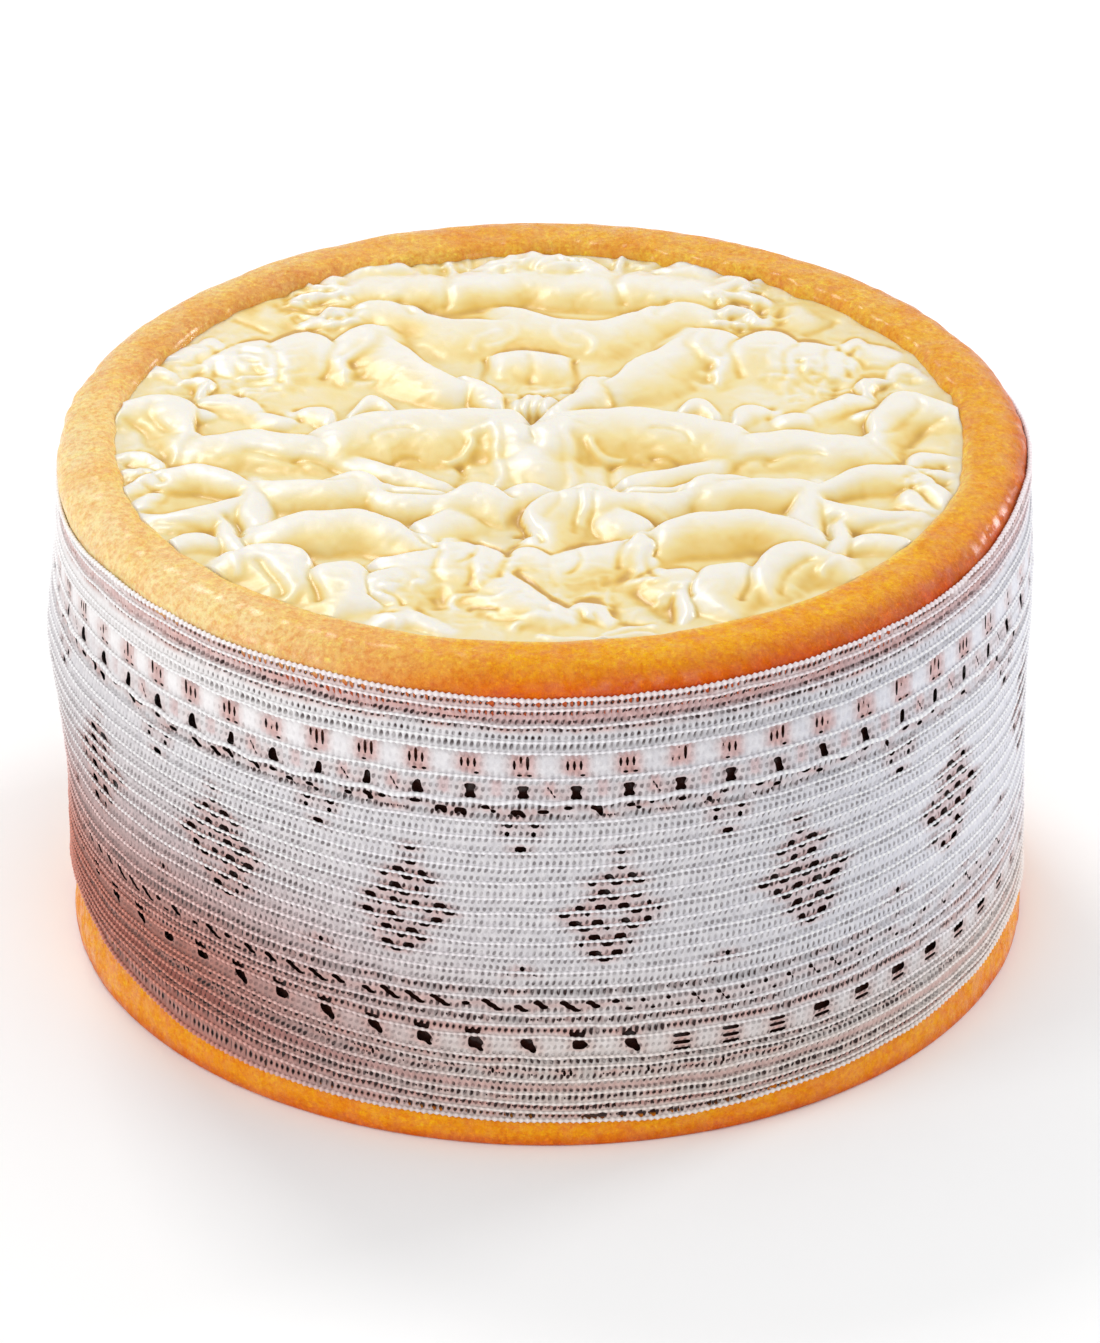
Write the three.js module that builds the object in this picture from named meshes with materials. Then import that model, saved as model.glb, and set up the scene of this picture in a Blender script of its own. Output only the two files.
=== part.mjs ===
// A soft sheep's-milk cheese wheel with its lid of rind cut away, and the cotton lace band that is
// wrapped round its side. Millimetres, +Z up, front towards -Y, origin at the middle of the foot.
import * as THREE from "three";

// Driving dimensions of the wheel
const WAIST_RADIUS = 61.1; // the side, which the band presses in
const SHOULDER_RADIUS = 61.3; // where the rind turns from the side into the top
const FOOT_BULGE_RADIUS = 62.0; // the rind swells out under the band
const FOOT_RADIUS = 61.3; // the flat face that the wheel stands on
const RIM_HEIGHT = 67.2; // top of the rind round the opening
const RIM_RISE_AT_BACK = 1.0;
const SHOULDER_HEIGHT = 63.0;
const SHOULDER_RISE_AT_BACK = 3.2;
const LEAN = { x: -0.7, y: 0.7 }; // how far the top has settled sideways of the foot
const LEAN_CENTRE = 0.6; // the share of the height that stays over the origin

// The opening that is left by the lid
const OPENING = { x: -0.5, y: 0.5, across: 54.2, deep: 53.0 };
const OPENING_LIP = 1.2; // width of the step between the rind and the paste
const LIP_STEP = 0.3; // how far the step's edge lies under the rim's crest
const RIM_CREST_RADIUS = 57.0;

// The lace band
const BAND_INNER_RADIUS = 61.65;
const BAND_THICKNESS = 0.75;
const BAND_BOTTOM = 4.2;
const BAND_TOP = 63.3;
const BAND_TOP_TILT = 0.8; // the upper edge stands higher at the right than at the left
const BAND_SIDE_BULGE = 1.5; // the lace hangs slack at the left and the right
const BULGE_HEIGHT = 44;
const BULGE_REACH = 13;
const BAND_LIFT_AT_BACK = 0.9; // the lower edge rides up at the back and the left
const BAND_LIFT_AT_LEFT = 0.6;

// How finely the surfaces are split
const PASTE_RINGS = 33; // ring k has six times k points, so the triangles are of one size
const AROUND = 6 * PASTE_RINGS;
const SHOULDER_TURNS = [0.35, 0.6, 0.8, 1]; // shares of the rind's quarter turn
const BAND_SEGMENTS = 96;
const BAND_LEVELS = [BAND_BOTTOM, 20, 32, 44, 56, BAND_TOP];

// The paste is a floor with folds that overlap like shingles. A fold's crest runs between the two
// points of its line, with its middle set back by bow. It falls by FOLD_DROP over the distance front
// on its near side, back on its far side and end past its ends.
const PASTE_FLOOR = 64.4;
const FLOOR_RISE_AT_FRONT = 1.6; // the floor turns up where it meets the rind
const FLOOR_RISE_AT_BACK = 0.6;
const FLOOR_TURNS_UP_FROM = 46;
const FLOOR_TURNS_UP_OVER = 6;
const FOLD_DROP = 3.2;
const FOLD_SAG = 0.35; // how much lower a fold's ends are than its middle
const FOLD_END_ROUND = 1.5; // the ends start to fall this far inside the line
const CREASE_ROUND = 0.6;
const MIRROR_X = -1.4; // the folds of the left half come again, mirrored, on the right

const LEFT_FOLDS = [
  { name: "back roll", line: [-26.5, 42.5, 0, 45], crest: 67.6, front: 6.5, back: 8 },
  { name: "back roll's cap", line: [-25.5, 48, -18.5, 49], bow: 1, crest: 67.4, front: 7, back: 3 },
  { name: "outer apron", line: [-25.5, 37, -15.5, 36], bow: 2, crest: 67.1, front: 9 },
  { name: "inner apron", line: [-15.5, 36, -3, 33.5], bow: -1, crest: 67, front: 12 },

  { name: "far crag", line: [-30, 43, -26, 46.5], bow: 0.5, crest: 67.4, front: 4, end: 2.5 },
  { name: "second crag", line: [-33, 39.5, -28.5, 41], bow: 0.5, crest: 67.1, front: 3, end: 2.5 },
  { name: "third crag", line: [-29.5, 35.5, -25, 37.5], bow: 0.5, crest: 67.2, front: 3, end: 2.5 },
  { name: "near crag", line: [-32, 34, -27.5, 34.5], bow: 0.5, crest: 66.9, front: 3, end: 2.5 },
  { name: "smooth patch", line: [-38.5, 36, -34.5, 36], crest: 66.6, front: 8, back: 8, end: 6 },

  { name: "outer petal", line: [-49, 23.5, -44, 27.5], bow: 0.5, crest: 67.1, front: 6, end: 3 },
  { name: "petal peak", line: [-45, 27, -42, 27.5], bow: 1, crest: 67.2, front: 5, end: 2.5 },
  { name: "second petal", line: [-43, 22.5, -39.5, 26], crest: 67.3, front: 9, end: 3 },
  { name: "third petal", line: [-39.5, 26.5, -35.5, 26], bow: 0.5, crest: 67.4, front: 10 },
  { name: "broad petal", line: [-35.5, 26, -28, 27.5], bow: 3, crest: 67.6, front: 13 },
  { name: "inner petal", line: [-27.5, 27.5, -22.5, 31.5], bow: 0.5, crest: 67.5, front: 10 },
  { name: "slanting sheet", line: [-20.5, 28.5, -10.5, 15.5], bow: -0.5, crest: 67.4, front: 9, back: 1.7 },
  { name: "sheet's tip", line: [-10.5, 17.5, -6, 9.5], bow: 1, crest: 67.3, front: 4, back: 1.7, end: 2.5 },
  { name: "curl", line: [-25, 8.5, -19.5, 9.5], bow: 4.5, crest: 67.2, front: 2.2, back: 1.8, end: 1.5 },
  { name: "tooth", line: [-46.5, 17.5, -44, 14], bow: 1.5, crest: 67.3, front: 2.5, back: 1.8, end: 2.5 },
  { name: "rim lump", line: [-52.5, 18.5, -47.5, 18.5], bow: 2, crest: 66.9, front: 5, end: 3 },

  { name: "rim lobe", line: [-55.5, 8, -45, 3.5], bow: 5.5, crest: 67.7, front: 10, back: 3 },
  { name: "outer skirt", line: [-47, 9.5, -43, 8], crest: 67.2, front: 4, back: 1.8, end: 3 },
  { name: "upper skirt", line: [-43.5, 13, -37, 9.5], bow: 1, crest: 67.2, front: 6, end: 3 },
  { name: "middle skirt", line: [-37, 8, -32.5, 7], crest: 67.3, front: 5, back: 1.8, end: 3 },
  { name: "inner skirt", line: [-32, 9.5, -27, 6.5], bow: 2, crest: 67.3, front: 5, end: 3 },
  { name: "great fold", line: [-45, 0.5, -25.5, 1.5], bow: 1, crest: 67.8, front: 9, back: 3 },
  { name: "hollow's rim", line: [-27.5, 3, -3.5, 6], bow: 1, crest: 68.1, front: 9, back: 3 },
  { name: "hollow's lip", line: [-26, -3.5, -12, -10.5], bow: -0.5, crest: 67.1, front: 6, back: 2, end: 3 },

  { name: "rim tuck", line: [-54.5, -4, -48.5, -7.5], bow: 1.5, crest: 67.1, front: 3.4, end: 3 },
  { name: "second tuck", line: [-54, -9, -48.5, -9.5], bow: 1, crest: 67, front: 3, end: 3 },
  { name: "outer wave", line: [-53, -13.5, -38, -11.5], bow: 4.5, crest: 67.5, front: 6 },
  { name: "middle wave", line: [-35.5, -12, -21, -12.5], crest: 67.5, front: 6.5 },
  { name: "wave top", line: [-27, -10.5, -21, -13], bow: 1, crest: 67.6, front: 5 },
  { name: "strap", line: [-21, -12, -12, -13], bow: -1, crest: 66.9, front: 3, back: 2, end: 3 },
  { name: "inner wave", line: [-21.5, -13.5, -12, -14.5], bow: -2, crest: 67.3, front: 6, back: 2 },
  { name: "inner knob", line: [-12.5, -15, -5, -15.5], bow: 2, crest: 67.5, front: 8 },

  { name: "upper shelf", line: [-49.5, -20, -38, -16], bow: -1.5, crest: 67.3, front: 6 },
  { name: "shelf tuck", line: [-52, -18.5, -48.5, -13.5], bow: -0.5, crest: 67, front: 3, end: 3 },
  { name: "lower shelf", line: [-48.5, -28.5, -41, -26], bow: 1, crest: 67.2, front: 5, end: 3 },
  { name: "spur", line: [-40, -19.5, -37.5, -32], bow: -0.5, crest: 67.4, front: 3, back: 2.4 },
  { name: "post", line: [-37, -11.5, -35.5, -25.5], crest: 67.6, front: 3, back: 3 },
  { name: "lens", line: [-34.5, -23.5, -17, -24.5], bow: 3, crest: 67.9, front: 8 },
  { name: "lap", line: [-17, -24, -11, -18], crest: 67.5, front: 8 },
  { name: "outer mound", line: [-38, -31, -29, -35], bow: 3, crest: 68, front: 10 },
  { name: "inner mound", line: [-29, -34.5, -22, -40.5], bow: 3, crest: 67.8, front: 11 },
];

// Folds near the middle line, and those at the front, where the two halves differ
const MIDDLE_FOLDS = [
  { name: "back knot", line: [-7, 49.5, 7.5, 47.5], bow: 2.5, crest: 67.8, front: 7, back: 4 },
  { name: "middle apron", line: [-5, 37.5, 4.5, 34], bow: -1, crest: 67.2, front: 12 },
  { name: "table", line: [-6.5, 24.5, 3.5, 24.5], crest: 67, front: 9, back: 1.6, end: 1.6 },
  { name: "fan", line: [-4, 11.5, 1.5, 11.5], bow: 1, crest: 66.8, front: 8, back: 2, end: 1.6 },
  { name: "right tip", line: [0, 6.5, 6, 16.5], bow: -1, crest: 67.9, front: 4, end: 3 },
  { name: "tongue", line: [-1.4, 4, -1.4, -4], crest: 68.2, front: 7, back: 7, end: 8 },
  { name: "valley floor", line: [-4.5, -13, 0.5, -12.5], crest: 66.7, front: 12 },
  { name: "shell", line: [-1.5, -24.5, 10, -15.5], bow: 5, crest: 67.8, front: 9 },

  { name: "left knob", line: [-21.5, -39.5, -18, -34.5], bow: 1, crest: 67.3, front: 9 },
  { name: "left slope", line: [-19.5, -32, -12.5, -27], bow: -1.5, crest: 67.5, front: 12 },
  { name: "left crumple", line: [-13, -27.5, -5, -31.5], bow: 0.5, crest: 67.5, front: 12 },
  { name: "middle crumple", line: [-5, -31.5, 0.5, -31.5], bow: 1.5, crest: 67.5, front: 8 },
  { name: "right crumple", line: [0.5, -31.5, 9.5, -27.5], crest: 67.5, front: 9 },
  { name: "right peak", line: [9, -29, 13, -30.5], bow: 3, crest: 67.6, front: 9, end: 3 },
  { name: "right knob", line: [15.5, -34.5, 18.5, -39], bow: 1.5, crest: 67.4, front: 9, end: 3 },
  { name: "slant", line: [-4, -36.5, 3, -44.5], bow: -0.5, crest: 67.5, front: 9, back: 1.7, end: 3 },
  { name: "small lump", line: [3.5, -43.5, 8, -45], bow: 1.5, crest: 67.2, front: 5, back: 1.8, end: 3 },
  { name: "bowl's rim", line: [18, -37, 17, -46], crest: 67.2, front: 2.2, end: 3 },
  { name: "front ledge", line: [-21, -47.5, -12, -48.5], bow: 1.5, crest: 66.9, front: 4, back: 4 },
];

const clamp = THREE.MathUtils.clamp;
const lerp = THREE.MathUtils.lerp;

// 0 at the front of the wheel and 1 at its back
function backness(angle) {
  return (1 + Math.sin(angle)) / 2;
}

// A point of the wheel's side at an angle, a radius and a height, on the leaning axis
function onWheel(angle, radius, height) {
  const share = height / RIM_HEIGHT - LEAN_CENTRE;
  const x = radius * Math.cos(angle) + LEAN.x * share;
  const y = radius * Math.sin(angle) + LEAN.y * share;
  return new THREE.Vector3(x, y, height);
}

function foldHeight(x, y, { line, crest, front, bow = 0, back = 2.2, end = 3.9 }) {
  const [x0, y0, x1, y1] = line;
  const half = Math.hypot(x1 - x0, y1 - y0) / 2;
  const alongX = (x1 - x0) / 2 / half;
  const alongY = (y1 - y0) / 2 / half;
  const dx = x - (x0 + x1) / 2;
  const dy = y - (y0 + y1) / 2;
  const along = dx * alongX + dy * alongY;
  const share = clamp(along / half, -2, 2);
  const crestOff = bow * (1 - clamp(share, -1.15, 1.15) ** 2);
  const off = dy * alongX - dx * alongY - crestOff;
  const past = Math.max(Math.abs(along) - half + FOLD_END_ROUND, 0);
  const fall = (off / (off < 0 ? front : back)) ** 2 + (past / end) ** 2;
  return crest - FOLD_DROP * fall - FOLD_SAG * share ** 2;
}

// The higher of two heights, with the crease between them rounded
function highest(a, b) {
  const share = clamp(0.5 + (a - b) / (2 * CREASE_ROUND), 0, 1);
  return lerp(b, a, share) + CREASE_ROUND * share * (1 - share);
}

function pasteHeight(x, y) {
  const turnUp = clamp((Math.hypot(x, y) - FLOOR_TURNS_UP_FROM) / FLOOR_TURNS_UP_OVER, 0, 1);
  const rise = lerp(FLOOR_RISE_AT_FRONT, FLOOR_RISE_AT_BACK, backness(Math.atan2(y, x)));
  // the lines waver a little, so that no two crests run quite alike
  const wavyX = x + 0.35 * Math.sin(0.31 * y + 1) + 0.25 * Math.sin(0.83 * y + 0.21 * x);
  const wavyY = y + 0.35 * Math.sin(0.37 * x) + 0.2 * Math.sin(0.9 * x + 0.5);
  let height = PASTE_FLOOR + rise * turnUp;
  for (const fold of LEFT_FOLDS) {
    height = highest(height, foldHeight(wavyX, wavyY, fold));
    height = highest(height, foldHeight(2 * MIRROR_X - wavyX, wavyY, fold));
  }
  for (const fold of MIDDLE_FOLDS) height = highest(height, foldHeight(wavyX, wavyY, fold));
  return height;
}

// A closed ring of points, one for each angle, from a function that places a point
function ring(count, place) {
  return Array.from({ length: count }, (_, i) => place((2 * Math.PI * i) / count));
}

// The rings of the cheese from the middle of the paste out over the rim and down to the foot
function cheeseRings() {
  const rings = [];
  for (let k = 0; k <= PASTE_RINGS; k++) {
    const share = k / PASTE_RINGS;
    rings.push(
      ring(Math.max(6 * k, 1), (angle) => {
        const x = OPENING.x + OPENING.across * share * Math.cos(angle);
        const y = OPENING.y + OPENING.deep * share * Math.sin(angle);
        return new THREE.Vector3(x, y, pasteHeight(x, y));
      }),
    );
  }
  const openingEdge = rings.at(-1);
  const rimTop = (angle) => RIM_HEIGHT + RIM_RISE_AT_BACK * backness(angle);
  const shoulder = (angle) => SHOULDER_HEIGHT + SHOULDER_RISE_AT_BACK * backness(angle);
  rings.push(
    openingEdge.map((point, i) => {
      const angle = (2 * Math.PI * i) / AROUND;
      const out = new THREE.Vector3(Math.cos(angle), Math.sin(angle), 0);
      return point.clone().addScaledVector(out, OPENING_LIP).setZ(rimTop(angle) - LIP_STEP);
    }),
  );
  rings.push(ring(AROUND, (angle) => onWheel(angle, RIM_CREST_RADIUS, rimTop(angle))));
  for (const turn of SHOULDER_TURNS) {
    const quarter = (turn * Math.PI) / 2;
    const radius = lerp(RIM_CREST_RADIUS, SHOULDER_RADIUS, Math.sin(quarter));
    const height = (angle) => lerp(shoulder(angle), rimTop(angle), Math.cos(quarter));
    rings.push(ring(AROUND, (angle) => onWheel(angle, radius, height(angle))));
  }
  // the side under the band, then the foot
  const side = [
    [WAIST_RADIUS, 60.5],
    [WAIST_RADIUS, 3.8],
    [FOOT_BULGE_RADIUS, 2.7],
    [FOOT_BULGE_RADIUS, 0.5],
    [FOOT_RADIUS, 0],
  ];
  for (const [radius, height] of side) {
    rings.push(ring(AROUND, (angle) => onWheel(angle, radius, height)));
  }
  rings.push([onWheel(0, 0, 0)]);
  return rings;
}

// Triangles between two neighbouring rings. A ring has as many points as its neighbour, or six more
// or fewer, or is a single point.
function joinRings(rings) {
  const points = rings.flat();
  const starts = [];
  rings.reduce((start, one) => (starts.push(start), start + one.length), 0);
  const faces = [];
  for (let r = 1; r < rings.length; r++) {
    const inner = rings[r - 1].length;
    const outer = rings[r].length;
    const a = (i) => starts[r - 1] + (i % inner);
    const b = (i) => starts[r] + (i % outer);
    if (outer === inner) {
      for (let i = 0; i < outer; i++) {
        faces.push(a(i), b(i), b(i + 1), a(i), b(i + 1), a(i + 1));
      }
    } else if (outer === 1) {
      for (let i = 0; i < inner; i++) faces.push(a(i), b(0), a(i + 1));
    } else if (inner === 1) {
      for (let i = 0; i < outer; i++) faces.push(a(0), b(i), b(i + 1));
    } else {
      const steps = outer / 6;
      for (let sixth = 0; sixth < 6; sixth++) {
        for (let i = 0; i < steps; i++) {
          const far = sixth * steps + i;
          const near = sixth * (steps - 1) + i;
          faces.push(a(near), b(far), b(far + 1));
          if (i < steps - 1) faces.push(a(near), b(far + 1), a(near + 1));
        }
      }
    }
  }
  const geometry = new THREE.BufferGeometry().setFromPoints(points);
  geometry.setIndex(faces);
  geometry.computeVertexNormals();
  return geometry;
}

// The band is a closed profile turned round the wheel, then pulled out where the lace is slack, with
// its edges lifted or lowered.
function bandGeometry() {
  const outer = BAND_INNER_RADIUS + BAND_THICKNESS;
  const profile = [
    ...BAND_LEVELS.map((height) => new THREE.Vector2(outer, height)),
    ...BAND_LEVELS.map((height) => new THREE.Vector2(BAND_INNER_RADIUS, height)).reverse(),
    new THREE.Vector2(outer, BAND_BOTTOM),
  ];
  const geometry = new THREE.LatheGeometry(profile, BAND_SEGMENTS);
  geometry.rotateX(Math.PI / 2);
  const position = geometry.getAttribute("position");
  for (let i = 0; i < position.count; i++) {
    const point = new THREE.Vector3().fromBufferAttribute(position, i);
    const angle = Math.atan2(point.y, point.x);
    const sideways = Math.cos(angle);
    const bulge = Math.exp(-(((point.z - BULGE_HEIGHT) / BULGE_REACH) ** 2));
    const radius = Math.hypot(point.x, point.y) + BAND_SIDE_BULGE * sideways ** 4 * bulge;
    const liftAtBottom = BAND_LIFT_AT_BACK * backness(angle) - BAND_LIFT_AT_LEFT * sideways;
    const liftAtTop = BAND_TOP_TILT * sideways ** 3;
    const share = (point.z - BAND_BOTTOM) / (BAND_TOP - BAND_BOTTOM);
    const placed = onWheel(angle, radius, point.z + lerp(liftAtBottom, liftAtTop, share));
    position.setXYZ(i, placed.x, placed.y, placed.z);
  }
  geometry.computeVertexNormals();
  return geometry;
}

const cheese = new THREE.Mesh(
  joinRings(cheeseRings()),
  new THREE.MeshStandardMaterial({ color: 0xedb24a, roughness: 0.5, metalness: 0 }),
);
cheese.name = "cheese";

const laceBand = new THREE.Mesh(
  bandGeometry(),
  new THREE.MeshStandardMaterial({ color: 0xe6e3e6, roughness: 0.95, metalness: 0 }),
);
laceBand.name = "lace_band";

const cheeseWheel = new THREE.Group();
cheeseWheel.add(cheese, laceBand);

export default cheeseWheel;
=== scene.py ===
# Looks for the cheese wheel: the creamy paste, the orange rind and the cotton lace band, round the
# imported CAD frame. The pieces are made in millimetres, which mesh_object() turns into metres; the
# camera, the lights and the floor are in metres. Angles run from +X towards +Y, and degrees run
# round from the front, towards the right.
import math

import bpy
import numpy as np
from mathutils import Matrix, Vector


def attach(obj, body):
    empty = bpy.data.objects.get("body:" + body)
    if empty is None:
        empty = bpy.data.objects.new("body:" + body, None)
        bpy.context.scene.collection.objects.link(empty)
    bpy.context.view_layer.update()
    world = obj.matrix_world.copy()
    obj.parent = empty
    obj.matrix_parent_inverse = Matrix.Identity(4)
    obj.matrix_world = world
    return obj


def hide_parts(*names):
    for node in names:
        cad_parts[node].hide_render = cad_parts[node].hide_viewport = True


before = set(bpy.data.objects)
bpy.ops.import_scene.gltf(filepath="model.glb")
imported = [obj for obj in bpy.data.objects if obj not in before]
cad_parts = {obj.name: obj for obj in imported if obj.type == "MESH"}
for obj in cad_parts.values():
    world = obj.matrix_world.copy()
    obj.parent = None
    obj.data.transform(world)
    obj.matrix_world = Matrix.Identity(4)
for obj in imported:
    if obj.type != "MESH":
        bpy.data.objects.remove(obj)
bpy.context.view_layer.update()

MM = 0.001
FULL_TURN = 2 * math.pi


# ---------------------------------------------------------------- helpers
def add_object(name, data):
    thing = bpy.data.objects.new(name, data)
    bpy.context.scene.collection.objects.link(thing)
    return thing


def aim(thing, place, target):
    thing.location = place
    thing.rotation_mode = "QUATERNION"
    thing.rotation_quaternion = (target - thing.location).to_track_quat("-Z", "Y")


def feed(tree, node, inputs):
    """Set a node's inputs to numbers or colours, or link them to sockets."""
    for key, value in inputs.items():
        socket = node.inputs[key]
        if isinstance(value, bpy.types.NodeSocket):
            tree.links.new(value, socket)
        elif socket.type == "RGBA":
            socket.default_value = (*value, 1)
        else:
            socket.default_value = value


def new_material(name):
    material = bpy.data.materials.new(name)
    material.use_nodes = True
    return material, material.node_tree, material.node_tree.nodes["Principled BSDF"]


def mesh_object(name, points, faces, material, **attributes):
    """A piece from points in millimetres and a list of face arrays, with a number or a colour for
    each point."""
    mesh = bpy.data.meshes.new(name)
    mesh.vertices.add(len(points))
    mesh.vertices.foreach_set("co", (np.asarray(points, float) * MM).astype(np.float32).ravel())
    sizes = np.concatenate([np.full(len(f), f.shape[1]) for f in faces])
    corners = np.concatenate([f.ravel() for f in faces])
    mesh.loops.add(len(corners))
    mesh.loops.foreach_set("vertex_index", corners.astype(np.int32))
    mesh.polygons.add(len(sizes))
    starts = np.concatenate([[0], np.cumsum(sizes)[:-1]])
    mesh.polygons.foreach_set("loop_start", starts.astype(np.int32))
    mesh.update(calc_edges=True)
    mesh.polygons.foreach_set("use_smooth", np.ones(len(mesh.polygons), bool))
    for key, values in attributes.items():
        values = np.asarray(values, np.float32)
        if values.ndim == 2:
            layer = mesh.attributes.new(key, "FLOAT_COLOR", "POINT")
            opaque = np.ones((len(values), 1), np.float32)
            layer.data.foreach_set("color", np.hstack([values, opaque]).ravel())
        else:
            mesh.attributes.new(key, "FLOAT", "POINT").data.foreach_set("value", values)
    mesh.materials.append(material)
    mesh.update()
    piece = add_object(name, mesh)
    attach(piece, "root")
    return piece


def lerp(a, b, share):
    return a + (b - a) * share


def eased(low, high, value):
    share = np.clip((value - low) / (high - low), 0, 1)
    return share * share * (3 - 2 * share)


def srgb(red, green, blue):
    """A colour given from 0 to 255 as it shows on a screen, as the linear light of shaders."""
    share = np.array([red, green, blue]) / 255
    return np.where(share <= 0.04045, share / 12.92, ((share + 0.055) / 1.055) ** 2.4)


def tinted(colour, *layers):
    """A colour for each point: turned towards each layer's colour in turn, by its share there."""
    for other, share in layers:
        colour = colour + (other - colour) * np.asarray(share)[..., None]
    return colour


NOISE_CELLS = 1024


def smooth_noise(x, y, size, seed, wrap=None):
    """Smooth value noise from -1 to 1, with features about size wide; x wraps round after wrap."""
    table = np.random.default_rng(seed).uniform(-1, 1, (NOISE_CELLS, NOISE_CELLS))
    x, y = np.asarray(x, float) / size, np.asarray(y, float) / size
    period = NOISE_CELLS if wrap is None else max(round(wrap / size), 1)
    if wrap is not None:
        x = x * period / (wrap / size)
    x0, y0 = np.floor(x).astype(int), np.floor(y).astype(int)
    fx, fy = x - x0, y - y0
    fx, fy = fx * fx * (3 - 2 * fx), fy * fy * (3 - 2 * fy)
    left, right = x0 % period, (x0 + 1) % period
    low, high = y0 % NOISE_CELLS, (y0 + 1) % NOISE_CELLS
    near = lerp(table[left, low], table[right, low], fx)
    far = lerp(table[left, high], table[right, high], fx)
    return lerp(near, far, fy)


def layered_noise(x, y, layers, wrap=None):
    """A sum of smooth noises, each with its strength, size and seed."""
    return sum(strength * smooth_noise(x, y, size, seed, wrap) for strength, size, seed in layers)


def hashed(*numbers):
    """A repeatable number from 0 to 1 for each combination of whole numbers."""
    mixed = 0.0
    for k, number in enumerate(numbers):
        mixed = mixed + np.asarray(number) * (12.9898 + 65.317 * k)
    return np.abs(np.sin(mixed) * 43758.5453) % 1


def bands_between(rings):
    """The points of rings and the faces between neighbours. A ring has as many points as its
    neighbour, six more, or is a single point."""
    quads, triangles, start = [], [], 0
    for inner, outer in zip(rings[:-1], rings[1:]):
        near, far = len(inner), len(outer)
        a, b = start, start + near
        if near == far:
            i = np.arange(near)
            j = (i + 1) % near
            quads.append(np.stack([a + i, b + i, b + j, a + j], 1))
        elif near == 1:
            i = np.arange(far)
            triangles.append(np.stack([np.full(far, a), b + i, b + (i + 1) % far], 1))
        elif far == 1:
            i = np.arange(near)
            triangles.append(np.stack([a + i, np.full(near, b), a + (i + 1) % near], 1))
        else:
            steps = far // 6
            sixth, i = np.meshgrid(np.arange(6), np.arange(steps), indexing="ij")
            outer_i, inner_i = sixth * steps + i, sixth * (steps - 1) + i
            wide = np.stack([a + inner_i % near, b + outer_i, b + (outer_i + 1) % far], -1)
            inner_i, outer_i = inner_i[:, :-1], outer_i[:, :-1]
            narrow = [a + inner_i, b + (outer_i + 1) % far, a + (inner_i + 1) % near]
            triangles += [wide.reshape(-1, 3), np.stack(narrow, -1).reshape(-1, 3)]
        start += near
    return np.concatenate(rings), [np.concatenate(f) for f in (quads, triangles) if f]


# ---------------------------------------------------------------- camera, lights and floor
IMAGE_HEIGHT_PX = 1343
FOCAL_PX = 7715
SENSOR_MM = 36
CAMERA_TARGET = Vector((0.74, 0, 32.9)) * MM
CAMERA_DISTANCE = 1.0
CAMERA_ELEVATION = math.radians(29.34)
LIGHTS_TARGET = Vector((0, 0, 0.04))
# Each light's name, place, size, watts and colour
LIGHTS = [
    ("key", (-0.25, 0.5, 0.7), 0.25, 2.1, (1.0, 0.99, 0.97)),
    ("left_fill", (-0.75, -0.4, 0.35), 0.3, 2.0, (1.0, 0.99, 0.97)),
    ("right_strip", (0.76, 0.5, 0.3), 0.26, 3.2, (1.0, 1.0, 1.0)),
    ("front_fill", (0.35, -0.9, 0.4), 0.5, 1.5, (0.97, 0.985, 1.0)),
]
SKY_STRENGTH = 0.74
FLOOR_REACH = 3.0


def make_camera():
    data = bpy.data.cameras.new("camera")
    data.sensor_width = SENSOR_MM
    data.lens = FOCAL_PX * SENSOR_MM / IMAGE_HEIGHT_PX
    data.clip_start, data.clip_end = 0.1, 20
    back = Vector((0, -math.cos(CAMERA_ELEVATION), math.sin(CAMERA_ELEVATION)))
    camera = add_object("camera", data)
    aim(camera, CAMERA_TARGET + CAMERA_DISTANCE * back, CAMERA_TARGET)
    bpy.context.scene.camera = camera


def make_surroundings():
    for name, place, size, watts, colour in LIGHTS:
        data = bpy.data.lights.new(name, "AREA")
        data.size, data.energy, data.color = size, watts, colour
        aim(add_object(name, data), place, LIGHTS_TARGET)
    world = bpy.data.worlds.new("studio")
    world.use_nodes = True
    sky = {"Color": (1, 1, 1), "Strength": SKY_STRENGTH}
    feed(world.node_tree, world.node_tree.nodes["Background"], sky)
    bpy.context.scene.world = world
    bpy.context.scene.view_settings.view_transform = "Standard"

    mesh = bpy.data.meshes.new("floor")
    signs = ((-1, -1), (1, -1), (1, 1), (-1, 1))
    corners = [(x * FLOOR_REACH, y * FLOOR_REACH, 0) for x, y in signs]
    mesh.from_pydata(corners, [], [(0, 1, 2, 3)])
    material, tree, shader = new_material("floor_paper")
    feed(tree, shader, {"Base Color": (0.95, 0.95, 0.95), "Roughness": 0.9})
    mesh.materials.append(material)
    floor = add_object("floor", mesh)


# ---------------------------------------------------------------- the wheel, as in part.mjs
WAIST_RADIUS = 61.1
WAIST_TOP = 60.0
SHOULDER_RADIUS = 61.3
SHOULDER_SWELL_AT_BACK = 1.1
FOOT_TOP = 11.0
FOOT_BULGE_RADIUS = 62.0
FOOT_RADIUS = 61.3
RIM_HEIGHT = 67.2
RIM_RISE_AT_BACK = 1.0
SHOULDER_HEIGHT = 63.0
SHOULDER_RISE_AT_BACK = 3.2
LEAN = (-0.7, 0.7)
LEAN_CENTRE = 0.6
OPENING = (-0.5, 0.5)
OPENING_ACROSS = 54.2
OPENING_DEEP = 53.0
RIM_CREST_RADIUS = 57.0

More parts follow.
